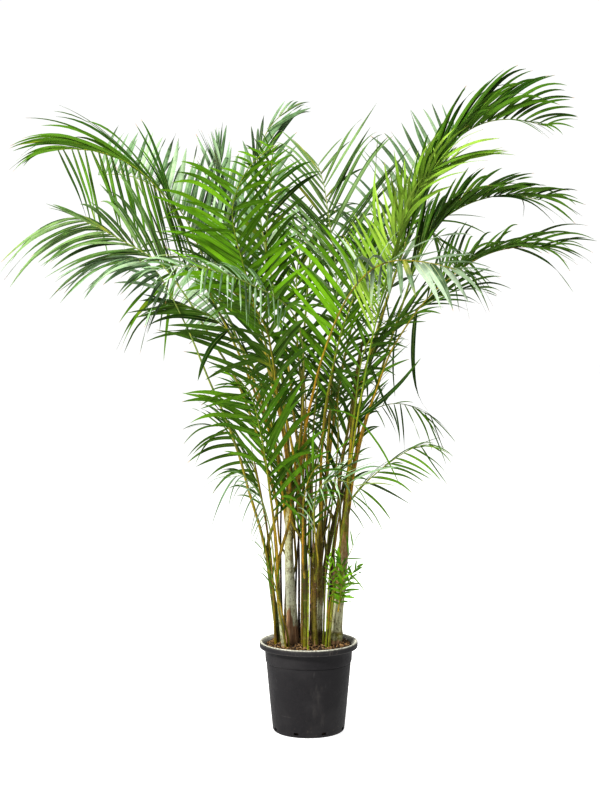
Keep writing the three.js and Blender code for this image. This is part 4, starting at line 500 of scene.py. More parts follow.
def rib_material(name, gold, olive, green):
    """Petiole and midrib. pet: -1 at the bottom of the sheath, 0 at the petiole's foot, 1 at the tip."""
    m = Nodes(name)
    pet, rnd, across = m.attr("along"), m.attr("rnd"), m.attr("across")
    o = m.obj()
    long = m.noise(m.obj((60.0, 60.0, 5.0)), 4.0, 4.0, 0.6)
    f = m.span(pet, -1.0, 1.0, 0.0, 1.0, smooth=False)
    col = m.ramp(f, [(0.0, blend3(olive, (0.26, 0.21, 0.03), 0.4)), (0.30, olive), (0.46, blend3(gold, olive, 0.35)), (0.60, gold), (0.70, blend3(gold, green, 0.7)), (0.80, green)])
    col = m.mix(m.span(long, 0.42, 0.72, 0.0, 0.55), col, scaled(blend3(gold, (0.42, 0.40, 0.06), 0.3), 1.25))
    col = m.mix(m.span(long, 0.5, 0.25, 0.0, 0.7), col, blend3(olive, (0.02, 0.05, 0.01), 0.45))
    # the channel on the upper side stays greener
    col = m.mix(m.span(across, 0.2, 0.9, 0.0, 0.5), col, green)
    # scurfy dark flecks, thickest near the foot
    fl = m.math("MULTIPLY", m.span(m.noise(m.obj((1.0, 1.0, 0.6)), 170.0, 4.0, 0.75), 0.53, 0.60), m.span(f, 0.72, 0.4, 0.2, 0.95))
    col = m.mix(fl, col, (0.06, 0.032, 0.010))
    scar = m.math("MULTIPLY", m.span(m.noise(o, 38.0, 4.0, 0.65), 0.62, 0.7), m.span(f, 0.6, 0.2, 0.0, 0.8))
    col = m.mix(scar, col, (0.17, 0.095, 0.045))
    h = m.math("ADD", m.math("MULTIPLY", long, 0.7), m.math("MULTIPLY", m.noise(o, 500.0, 3.0), 0.4))
    nrm = m.bump(h, 0.4, 0.0007)
    return m.done(m.principled(col, m.span(long, 0.3, 0.7, 0.42, 0.62), nrm, spec=0.22))


def cane_material(name):
    """Ringed cane. tint is the broad colour; ring is 1 on a leaf scar; wood is 1 where the fibre is brown."""
    m = Nodes(name)
    tint, ring, brown, wax = m.color_attr("tint"), m.attr("ring"), m.attr("brown"), m.attr("wax")
    o = m.obj()
    streak = m.noise(m.obj((1.0, 1.0, 0.12)), 130.0, 5.0, 0.65)
    blot = m.noise(m.obj((1.0, 1.0, 0.6)), 95.0, 5.0, 0.7, 0.3)
    grain = m.noise(m.obj((1.0, 1.0, 0.75)), 300.0, 4.0, 0.75)
    col = m.mix(m.span(streak, 0.45, 0.75, 0.0, 0.5), tint, m.mix(1.0, tint, (1.22, 1.2, 1.15), "MULTIPLY"))
    col = m.mix(m.span(streak, 0.52, 0.3, 0.0, 0.8), col, m.mix(1.0, tint, (0.46, 0.44, 0.22), "MULTIPLY"))
    # powdery wax that comes off in patches
    pw = m.math("MULTIPLY", wax, m.span(blot, 0.60, 0.42))
    col = m.mix(m.math("MULTIPLY", pw, 0.75), col, (0.36, 0.37, 0.26))
    # brown mottling and specks
    mo = m.math("MULTIPLY", m.span(blot, 0.52, 0.59), m.span(grain, 0.35, 0.6, 0.45, 1.0))
    mo = m.math("MULTIPLY", mo, m.math("SUBTRACT", 1.0, m.math("MULTIPLY", wax, 0.45)))
    col = m.mix(m.math("MULTIPLY", mo, 0.9), col, (0.042, 0.022, 0.008))
    sp = m.math("MULTIPLY", m.span(grain, 0.555, 0.61), m.math("SUBTRACT", 1.0, m.math("MULTIPLY", wax, 0.45)))
    col = m.mix(m.math("MULTIPLY", sp, 0.85), col, (0.028, 0.014, 0.005))
    col = m.mix(m.math("MULTIPLY", ring, 0.85), col, (0.13, 0.085, 0.035))
    fib = m.math("ADD", brown, m.math("MULTIPLY", m.math("SUBTRACT", blot, 0.5), 1.1))
    col = m.mix(m.span(fib, 0.42, 0.6), col, m.ramp(streak, [(0.3, (0.085, 0.045, 0.02)), (0.5, (0.24, 0.14, 0.072)), (0.7, (0.40, 0.27, 0.165))]))
    h = m.math("ADD", m.math("MULTIPLY", streak, 0.6), m.math("MULTIPLY", grain, 0.5))
    h = m.math("SUBTRACT", h, m.math("MULTIPLY", ring, 0.8))
    nrm = m.bump(h, 0.5, 0.0012)
    return m.done(m.principled(col, m.span(blot, 0.3, 0.7, 0.5, 0.75), nrm, spec=0.2))


def pot_material():
    m = Nodes("pot_plastic")
    o = m.obj()
    lip, scuff = m.attr("lip"), m.attr("scuff")
    grain = m.noise(o, 900.0, 3.0, 0.75)
    mid = m.noise(o, 150.0, 5.0, 0.65)
    wide = m.noise(o, 9.0, 4.0, 0.55)
    col = m.ramp(mid, [(0.3, (0.0062, 0.0056, 0.0066)), (0.55, (0.0102, 0.0094, 0.0108)), (0.8, (0.0165, 0.0153, 0.0168))])
    col = m.mix(m.span(wide, 0.42, 0.7, 0.0, 0.55), col, (0.024, 0.0225, 0.0235))
    col = m.mix(m.span(grain, 0.6, 0.74, 0.0, 0.6), col, (0.045, 0.043, 0.042))
    # dry water marks, streaked up and down the wall
    marks = m.noise(m.obj((1.0, 1.0, 0.25)), 26.0, 6.0, 0.7)
    col = m.mix(m.math("MULTIPLY", m.span(marks, 0.58, 0.72), 0.25), col, (0.06, 0.055, 0.05))
    # scratches: thin lines in two directions
    s1 = m.noise(m.obj((2.0, 2.0, 90.0)), 3.0, 2.0, 0.5, 0.6)
    s2 = m.noise(m.obj((70.0, 70.0, 6.0)), 2.4, 2.0, 0.5, 0.4)
    sc = m.math("ADD", m.span(s1, 0.695, 0.72), m.span(s2, 0.70, 0.73))
    sc = m.math("MULTIPLY", sc, m.span(wide, 0.45, 0.6))
    col = m.mix(m.math("MULTIPLY", sc, 0.4), col, (0.085, 0.08, 0.078))
    # pale rim top: a painted highlight, the bright light mirrored on the glossy lip, broken up by noise
    rim_highlight = m.math("MULTIPLY", lip, m.span(mid, 0.25, 0.55, 0.45, 1.0))
    col = m.mix(rim_highlight, col, m.ramp(mid, [(0.3, (0.34, 0.33, 0.27)), (0.7, (0.66, 0.66, 0.58))]))
    dust = m.math("MULTIPLY", scuff, m.span(m.noise(o, 95.0, 4.0, 0.7), 0.56, 0.7))
    col = m.mix(m.math("MULTIPLY", dust, 0.30), col, (0.13, 0.10, 0.075))
    h = m.math("ADD", m.math("MULTIPLY", grain, 0.5), m.math("MULTIPLY", mid, 0.7))
    nrm = m.bump(h, 0.35, 0.0006)
    r = m.span(mid, 0.3, 0.7, 0.50, 0.68)
    return m.done(m.principled(col, r, nrm, spec=0.2))


def soil_material():
    m = Nodes("coco_soil")
    o = m.obj()
    rnd, chip = m.attr("rnd"), m.attr("chip")
    n = m.noise(o, 260.0, 5.0, 0.7)
    s = m.noise(m.obj((1.0, 2.4, 1.0)), 520.0, 3.0, 0.7)
    peat = m.ramp(n, [(0.3, (0.008, 0.005, 0.003)), (0.52, (0.030, 0.017, 0.008)), (0.75, (0.085, 0.048, 0.02))])
    coco = m.ramp(rnd, [(0.0, (0.045, 0.022, 0.008)), (0.3, (0.13, 0.07, 0.025)), (0.6, (0.23, 0.14, 0.055)), (0.85, (0.34, 0.23, 0.11)), (1.0, (0.48, 0.37, 0.24))])
    coco = m.mix(m.span(s, 0.5, 0.25, 0.0, 0.75), coco, (0.07, 0.035, 0.018))
    coco = m.mix(m.span(s, 0.55, 0.75, 0.0, 0.45), coco, (0.60, 0.44, 0.28))
    col = m.mix(chip, peat, coco)
    nrm = m.bump(m.math("ADD", n, m.math("MULTIPLY", s, 0.6)), 0.8, 0.0015)
    return m.done(m.principled(col, m.span(n, 0.3, 0.7, 0.8, 0.95), nrm, spec=0.3))


# sRGB picks turned to linear
def srgb(r, g, b):
    return tuple((c / 255 / 12.92) if c / 255 <= 0.04045 else ((c / 255 + 0.055) / 1.055) ** 2.4 for c in (r, g, b))


GAIN = 0.62


def leaf(name, *picks, **more):
    blue = 1.0 if more.get("warm", 0.5) < 0.2 else 0.42
    tuned = [tuple(c * GAIN * k for c, k in zip(srgb(*p), (1.0, 1.03, blue))) for p in picks]
    return leaf_material(name, *tuned, **more)


LEAF = {
    "bright": leaf("leaf_bright", (28, 86, 0), (70, 136, 0), (150, 206, 48), (120, 168, 56)),
    "lime": leaf("leaf_lime", (62, 116, 14), (120, 172, 60), (198, 224, 156), (162, 194, 118), thin=0.24, warm=0.3),
    "mid": leaf("leaf_mid", (22, 66, 0), (54, 106, 4), (112, 158, 40), (94, 136, 48)),
    "dark": leaf("leaf_dark", (14, 54, 0), (36, 86, 4), (92, 138, 44), (96, 136, 62), thin=0.18),
    "deep": leaf("leaf_deep", (12, 46, 2), (34, 76, 10), (84, 126, 54), (94, 130, 66), thin=0.18),
    "grey": leaf("leaf_grey", (36, 76, 12), (82, 120, 50), (148, 178, 120), (146, 174, 120), thin=0.16, rough=0.5, warm=0.12),
    "pale": leaf("leaf_pale", (76, 114, 66), (128, 162, 120), (184, 206, 172), (166, 190, 154), thin=0.16, rough=0.5, warm=0.06),
    "palest": leaf("leaf_palest", (58, 90, 46), (124, 148, 116), (180, 194, 174), (160, 178, 148), thin=0.12, rough=0.5, warm=0.03),
}


def pick(*c):
    return scaled(srgb(*c), GAIN)


RIB = {
    "gold": rib_material("midrib_gold", pick(164, 132, 6), pick(98, 100, 2), pick(84, 118, 8)),
    "green": rib_material("midrib_green", pick(134, 136, 14), pick(82, 102, 4), pick(92, 136, 18)),
    "amber": rib_material("midrib_amber", pick(166, 122, 8), pick(104, 86, 4), pick(112, 112, 10)),
    "grey": rib_material("midrib_grey", pick(146, 128, 20), pick(92, 100, 8), pick(120, 146, 74)),
}
RIB_OF = {"bright": "gold", "lime": "green", "mid": "gold", "dark": "gold", "deep": "gold", "grey": "grey", "pale": "grey", "palest": "gold"}
CANE_MAT = cane_material("cane_skin")
POT_MAT = pot_material()
SOIL_MAT = soil_material()

# ------------------------------------------------------------------ canes
# tint stops by height fraction, wax amount, node spacing (mm)
def bark(*c):
    return scaled(srgb(*c), 0.46)


PALE, CREAM, GREEN = bark(206, 206, 164), bark(226, 226, 198), bark(96, 124, 20)
CANE_LOOK = {
    "cane_1": ([(0, bark(120, 108, 20)), (0.4, GREEN), (1, bark(112, 124, 16))], 0.1, 78),
    "cane_2": ([(0, bark(126, 120, 48)), (0.3, bark(196, 196, 160)), (0.7, bark(150, 160, 96)), (1, bark(110, 118, 26))], 0.6, 62),
    "cane_3": ([(0, bark(170, 140, 100)), (0.18, bark(214, 214, 180)), (0.45, bark(240, 240, 216)), (0.74, bark(214, 214, 170)), (0.86, bark(176, 160, 50)), (1, bark(160, 140, 14))], 1.0, 96),
    "cane_4": ([(0, bark(150, 140, 20)), (0.3, bark(110, 120, 12)), (0.6, bark(74, 80, 6)), (1, bark(70, 96, 4))], 0.0, 90),
    "cane_5": ([(0, bark(170, 160, 20)), (0.2, bark(140, 134, 18)), (0.6, bark(120, 96, 12)), (1, bark(110, 112, 10))], 0.05, 54),
    "cane_6": ([(0, bark(96, 76, 24)), (0.14, bark(120, 100, 40)), (0.18, PALE), (0.36, PALE), (0.42, bark(150, 134, 20)), (0.7, bark(156, 138, 16)), (1, bark(110, 112, 10))], 0.2, 66),
    "cane_7": ([(0, bark(58, 36, 14)), (0.5, bark(80, 54, 18)), (1, bark(92, 88, 14))], 0.0, 50),
    "cane_8": ([(0, bark(158, 154, 20)), (0.14, bark(140, 142, 22)), (0.155, bark(206, 206, 164)), (0.4, bark(200, 196, 146)), (0.52, bark(178, 148, 50)), (0.75, bark(156, 112, 40)), (1, bark(150, 130, 20))], 0.7, 104),
    "cane_9": ([(0, bark(92, 72, 16)), (0.4, bark(120, 102, 18)), (1, bark(90, 98, 10))], 0.1, 70),
    "cane_10": ([(0, bark(46, 28, 10)), (0.4, bark(64, 48, 12)), (0.8, bark(58, 66, 6)), (1, bark(66, 92, 8))], 0.0, 60),
    "cane_11": ([(0, bark(88, 62, 20)), (0.5, bark(112, 96, 16)), (1, bark(86, 98, 10))], 0.05, 72),
}
# thin stalks and unopened spears that stand among the canes: cane they are filed with, path, foot and tip radius, colour
STALKS = [
    ("cane_8", "101,-20,551 111,-50,736 121,-75,902 141,-100,1066 154,-110,1134", 6.0, 3.2, bark(120, 118, 10)),
    ("cane_8", "90,-20,538 86,-40,687 105,-60,838 123,-80,965 139,-90,1080", 3.2, 1.7, bark(110, 112, 14)),
    ("cane_6", "34,-10,536 31,-50,689 49,-100,917 75,-140,1067 91,-160,1148", 3.2, 1.7, bark(172, 150, 16)),
    ("cane_5", "15,-60,488 9,-90,693 14,-120,878 32,-150,1041", 2.8, 1.5, bark(140, 150, 20)),
    ("cane_4", "-13,-70,531 -16,-110,714 -8,-140,879 -13,-160,1014", 2.8, 1.5, bark(150, 140, 16)),
    ("cane_10", "-10,50,584 21,20,757 59,0,898 103,-20,1004", 2.8, 1.5, bark(120, 124, 16)),
    ("cane_1", "-91,-20,238 -104,-30,483 -129,-35,651 -162,-40,817", 3.4, 1.8, bark(150, 132, 14)),
    ("cane_1", "-83,30,238 -91,30,474 -105,30,643 -130,30,812", 3.2, 1.8, bark(110, 104, 10)),
    ("cane_2", "-72,50,238 -78,50,414 -78,50,584 -69,50,782", 3.2, 1.8, bark(66, 44, 14)),
    ("cane_9", "-58,75,238 -52,75,466 -50,80,637 -58,80,808", 3.2, 1.8, bark(70, 60, 10)),
    ("cane_10", "-27,30,238 -27,30,474 -32,30,643 -44,30,812", 3.6, 1.8, bark(52, 34, 14)),
    ("cane_4", "-18,-40,238 -18,-40,457 -18,-40,651 -7,-40,817", 3.0, 1.8, bark(132, 116, 12)),
    ("cane_5", "-2,-95,238 -1,-90,383 1,-85,492 3,-80,601 -2,-80,739", 2.3, 1.3, bark(172, 190, 44)),
    ("cane_6", "5,10,238 7,10,449 7,10,646 18,10,813", 3.4, 1.8, bark(44, 32, 14)),
    ("cane_5", "12,-30,238 9,-30,427 15,-35,595 26,-40,790", 3.0, 1.7, bark(160, 140, 14)),
    ("cane_7", "25,30,238 27,30,417 38,30,587 52,30,784", 3.4, 1.8, bark(66, 48, 12)),
    ("cane_11", "40,-45,238 45,-45,402 53,-45,541 75,-45,735", 2.9, 1.6, bark(120, 126, 24)),
    ("cane_11", "48,-60,238 53,-65,392 64,-70,517 85,-75,656", 2.4, 1.3, bark(150, 170, 30)),
    ("cane_7", "62,20,238 63,20,390 71,20,532 102,20,729", 3.4, 1.8, bark(84, 56, 22)),
    ("cane_11", "22,100,238 39,100,463 62,100,635 104,100,806", 3.2, 1.7, bark(60, 52, 10)),
    ("cane_9", "-38,90,238 -33,90,464 -15,90,636 -1,90,807", 3.2, 1.7, bark(56, 50, 10)),
]
# how far the wrapped leaf bases carry each cane on above its last scar
SHAFT = {"cane_3": 150, "cane_8": 120, "cane_4": 70, "cane_10": 70, "cane_9": 60, "cane_11": 60}
cane_lines = {}
for ci, (name, text, radii) in enumerate(CANES):
    knots = pts(text)
    d = unit(knots[1] - knots[0])
    root = knots[0] - d * 22
    bare = np.linalg.norm(np.diff(np.vstack([root, knots]), axis=0), axis=1).sum()
    shaft = SHAFT.get(name, 40)
    knots = np.vstack([knots, knots[-1] + unit(knots[-1] - knots[-2]) * shaft])
    reachf = bare / (bare + shaft)
    R, K = 150, 28
    C = catmull(np.vstack([root, knots]), R)
    s = np.linspace(0, 1, R)
    length = np.linalg.norm(np.diff(C, axis=0), axis=1).sum()
    stops, wax, pitch = CANE_LOOK[name]
    rad = np.interp(s, list(np.linspace(0.05, reachf, len(radii))) + [1.0], list(radii) + [radii[-1] * 0.62]) * {"cane_3": 0.9, "cane_4": 0.72, "cane_5": 0.8, "cane_6": 0.85, "cane_9": 0.82, "cane_10": 0.82, "cane_11": 0.8}.get(name, 0.94)
    if name == "cane_8":
        rad = rad + 2.4 * np.exp(-((s * length - 40) / 15) ** 2)
    h = s * length
    # leaf scars: a step, a groove and a slight swelling below
    offset = 18 + 11 * (ci % 4)
    ring = np.zeros(R)
    swell = np.zeros(R)
    k = 0
    z = offset
    while z < bare - 10:
        ring = np.maximum(ring, np.exp(-(((h - z) / 1.7) ** 2)))
        swell += np.where(h < z, np.exp(-(((h - z) / 7.0) ** 2)), 0) * 0.9
        z += pitch * (0.85 + 0.3 * ((k * 7 + ci * 3) % 5) / 4)
        k += 1
    taper_top = 1 - 0.55 * step(h, length - 34, length) ** 1.5
    T, U, W = frames(C)
    th = np.linspace(0, 2 * math.pi, K, endpoint=False)
    lob = 1 + 0.03 * np.sin(2 * th + ci)[None, :] + 0.018 * np.sin(3 * th + 2 * s[:, None] * 5 + ci)
    rr = (rad * taper_top + swell * np.minimum(1, rad / 14))[:, None] * lob - 0.7 * ring[:, None]
    P = C[:, None] + U[:, None] * (np.cos(th)[None, :, None] * rr[..., None]) + W[:, None] * (np.sin(th)[None, :, None] * rr[..., None])
    pile = Pile(["ring", "brown", "wax", "tr", "tg", "tb"])
    tint = np.stack([np.interp(s, [p * reachf for p, _ in stops], [c[k] for _, c in stops]) for k in range(3)], 1)
    foot = step(h, 128 if name == "cane_3" else 40, 62 if name == "cane_3" else 16)
    jag = 0.5 * np.sin(th * 2 + 0.6)[None, :] + 0.35 * np.sin(th * 5 + 1.7)[None, :]
    br = np.clip(foot[:, None] * 0.75 * (1 + 0.5 * jag), 0, 1)
    if name == "cane_3":
        # the fibre runs up the cane in tongues of uneven height
        up_to = 84 + 26 * np.sin(th * 2 + 2.4) + 16 * np.sin(th * 3 + 0.7) + 8 * np.sin(th * 7)
        br = 1 - np.clip((h[:, None] - up_to[None, :] + 10) / 24, 0, 1)
    if name == "cane_8":
        br = np.maximum(br, (0.44 * step(s, 0.40, 0.50) * (1 - step(s, 0.70, 0.80)))[:, None] * (1 + 0 * jag))
    if name == "cane_3":
        br = np.maximum(br, (0.33 * step(s, 0.36, 0.5) * (1 - step(s, 0.74, 0.84)))[:, None] * (1 + 0 * jag))
    if name in ("cane_5", "cane_6", "cane_9", "cane_11", "cane_1"):
        br = np.maximum(br, (0.36 * step(s, 0.15, 0.3))[:, None] * (1 + 0 * jag))
    if name in ("cane_7", "cane_10"):
        br = np.maximum(br, 0.42 + 0.2 * np.sin(s * 19 + th[None, :] * 2 if False else s * 19)[:, None] * (1 + 0 * jag))
    pile.tubes(P[None], {"ring": ring[:, None] * (0.45 if name == "cane_3" else 0.8), "brown": br, "wax": wax * (1 - step(s[:, None], 0.68 if name == "cane_3" else 0.45, 0.84 if name == "cane_3" else 0.75)), "tr": tint[:, 0:1], "tg": tint[:, 1:2], "tb": tint[:, 2:3]})
    # loose fibres round the foot of the big cane
    if name in ("cane_3", "cane_8", "cane_10", "cane_5"):
        nf = {"cane_3": 150, "cane_8": 20, "cane_10": 46, "cane_5": 16}[name]
        top = {"cane_3": 96, "cane_8": 24, "cane_10": 70, "cane_5": 30}[name]
        F = np.zeros((nf, 8, 3, 3))
        for f in range(nf):
            a = rng.uniform(0, 2 * math.pi)
            h0, h1 = rng.uniform(6, 26), rng.uniform(0.35, 1.0) * top * (0.72 + 0.28 * math.cos(a * 2 + 0.6)) + 20
            q = np.linspace(0, 1, 8)
            hh = h0 + (h1 - h0) * q
            sw = a + rng.normal(0, 0.25) * q + rng.normal(0, 0.05)
            cc = at(C, hh / length)
            uu, ww = at(U, hh / length), at(W, hh / length)
            r0 = np.interp(hh / length, s, rad) + 0.4 + rng.uniform(0, 1.6) * q * q * (3 if rng.random() < 0.15 else 1)
            rad_dir = uu * np.cos(sw)[:, None] + ww * np.sin(sw)[:, None]
            tan_dir = -uu * np.sin(sw)[:, None] + ww * np.cos(sw)[:, None]
            wd = rng.uniform(0.5, 1.3) * (1 - 0.85 * q ** 2)
            base = cc + rad_dir * r0[:, None]
            F[f, :, 0] = base - tan_dir * wd[:, None]
            F[f, :, 1] = base + tan_dir * wd[:, None]
            F[f, :, 2] = base + rad_dir * (0.7 * wd)[:, None]
        shade = rng.uniform(0.5, 1.3, nf)[:, None, None]
        pile.tubes(F, {"brown": 1.0, "tr": 0.2 * shade, "tg": 0.11 * shade, "tb": 0.06 * shade})
    for who, text, ra, rb, shade in STALKS:
        if who != name:
            continue
        A = catmull(pts(text), 60)
        g = np.linspace(0, 1, 60)
        ar = (rb + (ra - rb) * (1 - g) ** 0.9) * (1 - 0.85 * step(g, 0.86, 1.0)) + ra * 0.35 * np.exp(-((g - 0.02) / 0.05) ** 2)
        TA, UA, WA = frames(A)
        ta = np.linspace(0, 2 * math.pi, 12, endpoint=False)
        PA = A[:, None] + UA[:, None] * (np.cos(ta)[None, :, None] * ar[:, None, None]) + WA[:, None] * (np.sin(ta)[None, :, None] * ar[:, None, None])
        pile.tubes(PA[None], {"brown": (0.40 - 0.12 * step(g, 0.3, 0.7))[None, :, None], "ring": 0.7 * np.exp(-((g - 0.16) / 0.006) ** 2)[None, :, None], "tr": shade[0], "tg": shade[1], "tb": shade[2]})
    ob = pile.make("palm_" + name, [CANE_MAT], sharp=50, aspect=7)
    me = ob.data
    col = np.ones((len(me.vertices), 4), np.float32)
    for i, k in enumerate(("tr", "tg", "tb")):
        buf = np.zeros(len(me.vertices), np.float32)
        me.attributes[k].data.foreach_get("value", buf)
        col[:, i] = buf
    for k in ("tr", "tg", "tb"):
        me.attributes.remove(me.attributes[k])
    a = me.attributes.new("tint", "FLOAT_COLOR", "POINT")
    a.data.foreach_set("color", col.reshape(-1))
    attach(ob, "root")
    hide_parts(name)
    cane_lines[name] = (C, rad * taper_top)

# ------------------------------------------------------------------ fronds
SECT_A = np.array([-1.0, -0.52, 0.0, 0.52, 1.0, 0.0])
SECT_U = [0.0, 0.16, 0.31, 0.46, 0.62, 0.81, 1.0]
UNDER = [0, 0, 0, 0, 1, 1]
RL = 13  # rings of a leaflet


def leaflets(C, U0, W, rnd):
    """C: (N, RL, 3) centre lines, U0: (N, 3) width directions, W: (N,) widths. Returns the closed rings and point values."""
    N = len(C)
    T = tangents(C)
    U = np.zeros_like(C)
    u = U0.copy()
    for i in range(RL):
        u = u - T[:, i] * np.sum(u * T[:, i], 1, keepdims=True)
        n = np.linalg.norm(u, axis=1, keepdims=True)
        alt = np.cross(T[:, i], np.array([0.2, 1.0, 0.1]))
        u = np.where(n < 0.08, alt, u)
        u = unit(u)
        U[:, i] = u
    q = np.linspace(0, 1, RL)[None, :]
    q = np.broadcast_to(q, (N, RL))
    up = np.cross(U, T)[:, RL // 2, 2]
    U = U * np.where(up < 0, -1.0, 1.0)[:, None, None]
    # a slow turn along the blade
    turn = rnd.normal(0, 0.22, N)[:, None] + rnd.normal(0, 0.55, N)[:, None] * (q - 0.25)
    curl = (rnd.random(N) < 0.34) * rnd.uniform(0.8, 2.2, N) * rnd.choice([-1, 1], N)
    turn = turn + curl[:, None] * step(q, 0.5, 1.0)
    U = rotate(U, T, turn)
    Nn = np.cross(U, T)
    shape = np.where(q < 0.22, 0.40 + 0.60 * step(q, -0.05, 0.24), np.maximum(0.0, 1 - ((q - 0.22) / 0.78) ** 2.7) ** 0.9)
    half = W[:, None] / 2 * shape + 0.18
    fold = half * (0.62 - 0.40 * step(q, 0.0, 0.45) + 0.10 * step(q, 0.6, 1.0)) * rnd.uniform(0.7, 1.25, N)[:, None]
    thick = 0.42 + 0.5 * (1 - q)
    zz = np.stack([-0.0 * half, 0.60 * fold + 0.05 * half, fold, 0.60 * fold + 0.05 * half, -0.0 * half, fold - thick - 0.12 * half * 0], -1)
    # margins ripple a little
    ph = rnd.uniform(0, 6.28, N)[:, None]
    rip = 0.05 * half * np.sin(q * rnd.uniform(9, 16, N)[:, None] + ph)
    zz[..., 0] += rip
    zz[..., 4] -= rip
    P = C[:, :, None] + U[:, :, None] * (half[..., None] * SECT_A)[..., None] + Nn[:, :, None] * zz[..., None]
    P = P - Nn[:, :, None] * (fold * 0.5)[..., None, None]
    return P, {"along": q[..., None], "across": SECT_A[None, None, :]}


def rachis(pile, C, r, along, rnd, up=None, K=10, mat=1, flat=None, channel=0.0):
    """A tube on its line; up gives the side that carries the channel."""
    T, U, W = frames(C, (0, 0, 1) if up is None else up)
    th = np.linspace(0, 2 * math.pi, K, endpoint=False)
    cs, sn = np.cos(th)[None, :], np.sin(th)[None, :]
    groove = 1 - channel * np.exp(-(((th - 0.0 + math.pi) % (2 * math.pi) - math.pi) / 0.55) ** 2)[None, :]
    fl = np.ones(len(C)) if flat is None else flat
    a = r[:, None] * groove
    P = C[:, None] + U[:, None] * (cs * a)[..., None] + W[:, None] * (sn * a * fl[:, None])[..., None]
    # the whole tube takes one cell of the bake map
    n = len(C)
    parts = max(1, int(round(n / 26)))
    vals = {"along": np.broadcast_to(along[:, None], (n, K)), "rnd": rnd, "rnd2": rnd, "across": np.broadcast_to(cs, (n, K))}
    pile.tubes(P[None], {k: (v[None] if isinstance(v, np.ndarray) else v) for k, v in vals.items()}, mat=mat)


# which cane each frond grows from
tops = {n: c[-1] for n, (c, _) in cane_lines.items()}
claims = {n: [] for n in tops}
plan = {}
for fi, f in enumerate(FRONDS):
    P = pts(f[3])
    p0 = P[0]
    best = None
    for n, (c, r) in cane_lines.items():
        za = min(p0[2] - 30, c[-1][2] - 15)
        if za < 267:
            continue
        i = int(np.argmin(np.abs(c[:, 2] - za)))
        hd = np.linalg.norm(c[i][:2] - p0[:2])
        gap = max(0.0, p0[2] - c[-1][2])
        cost = max(0, hd - 0.25 * gap) + 0.22 * gap + (25 if za < c[-1][2] - 60 else 0)
        if best is None or cost < best[0]:
            best = (cost, n, za)
    if best is None or best[0] > 75 or p0[2] < 412:
        plan[f[0]] = None
    else:
        plan[f[0]] = best[1]
        claims[best[1]].append((fi, p0[2]))

# extra upright leaflets of the lime frond: width, path
SPIKES = [
    (9, "211,-273,1303 187,-283,1387 173,-294,1460 165,-303,1510"),
    (11, "236,-287,1385 212,-304,1454 197,-322,1511 189,-337,1548"),
    (9, "254,-296,1431 231,-320,1493 219,-345,1543 212,-366,1575"),
    (11, "240,-289,1397 232,-300,1464 235,-310,1519 241,-319,1554"),
    (9, "232,-285,1373 234,-302,1439 246,-320,1492 260,-335,1525"),
    (11, "254,-296,1431 253,-320,1493 263,-345,1543 275,-366,1575"),
    (9, "264,-298,1454 271,-309,1516 287,-319,1567 306,-328,1599"),
    (11, "281,-300,1487 291,-318,1548 311,-335,1598 332,-350,1629"),
    (9, "288,-300,1497 307,-325,1555 336,-349,1601 365,-370,1629"),
    (11, "303,-300,1517 329,-311,1572 366,-321,1614 402,-330,1639"),
    (9, "319,-300,1536 353,-318,1581 398,-335,1613 440,-350,1629"),
    (11, "326,-300,1546 371,-324,1578 427,-349,1599 478,-370,1604"),
    (9, "311,-300,1527 368,-311,1557 436,-321,1575 499,-330,1578"),
    (11, "288,-300,1497 337,-318,1528 396,-335,1547 451,-350,1551"),
    (9, "264,-298,1454 303,-323,1489 352,-347,1513 398,-368,1522"),
    (11, "240,-289,1397 275,-300,1441 320,-310,1473 363,-319,1489"),
    (9, "221,-279,1338 214,-297,1406 218,-314,1462 225,-329,1498"),
    (11, "232,-285,1373 244,-309,1433 266,-334,1481 289,-355,1511"),
]
# fronds whose leaflets point less evenly
LOOSE = {"frond_%02d" % k for k in (6, 7, 8, 18, 19, 20, 21, 22, 24, 25, 29, 31, 32, 33, 34, 35, 39, 40, 41)}
# small side fans of the bushy shoot: midrib, leaflet pairs, leaflet length
FANS = [
    ("81,-60,344 89,-75,407 94,-85,459 80,-90,512", 13, 34),
    ("83,-60,360 100,-70,407 119,-75,452 135,-80,475", 6, 38),
    ("78,-55,376 67,-75,424 58,-90,465 55,-95,505", 8, 26),
]
# leaflet count, leaflet width, tone and extra arch of single fronds
AMOUNT = {
    "frond_01": (1.35, 0.85, 0.22, 0.05), "frond_10": (1.75, 1.4, 0.12, 0.0), "frond_11": (1.3, 1.4, 0.05, 0.0), "frond_12": (1.1, 1.3, -0.1, 0.0),
    "frond_02": (1.1, 0.95, -0.05, 0.02), "frond_03": (1.1, 0.95, -0.08, 0.0), "frond_04": (1.2, 1.0, 0.0, 0.0),
    "frond_26": (1.2, 0.72, 0.12, 0.12), "frond_27": (1.6, 0.86, 0.0, 0.0), "frond_28": (1.25, 0.74, 0.12, 0.10),
    "frond_29": (1.05, 0.78, 0.12, 0.04), "frond_30": (0.95, 1.15, 0.05, 0.0), "frond_31": (1.1, 0.8, 0.0, 0.0),
    "frond_14": (1.2, 0.8, 0.08, 0.02), "frond_17": (1.15, 0.9, 0.05, 0.0), "frond_20": (1.15, 0.9, 0.0, 0.0), "frond_21": (1.15, 0.9, 0.0, 0.0), "frond_32": (1.15, 1.0, 0.0, 0.0), "frond_33": (1.15, 1.0, 0.0, 0.0),
    "frond_35": (1.4, 1.0, -0.1, 0.0), "frond_39": (1.5, 1.1, 0.0, 0.0), "frond_40": (1.5, 1.1, 0.0, 0.0), "frond_41": (1.5, 1.1, 0.0, 0.0),
}

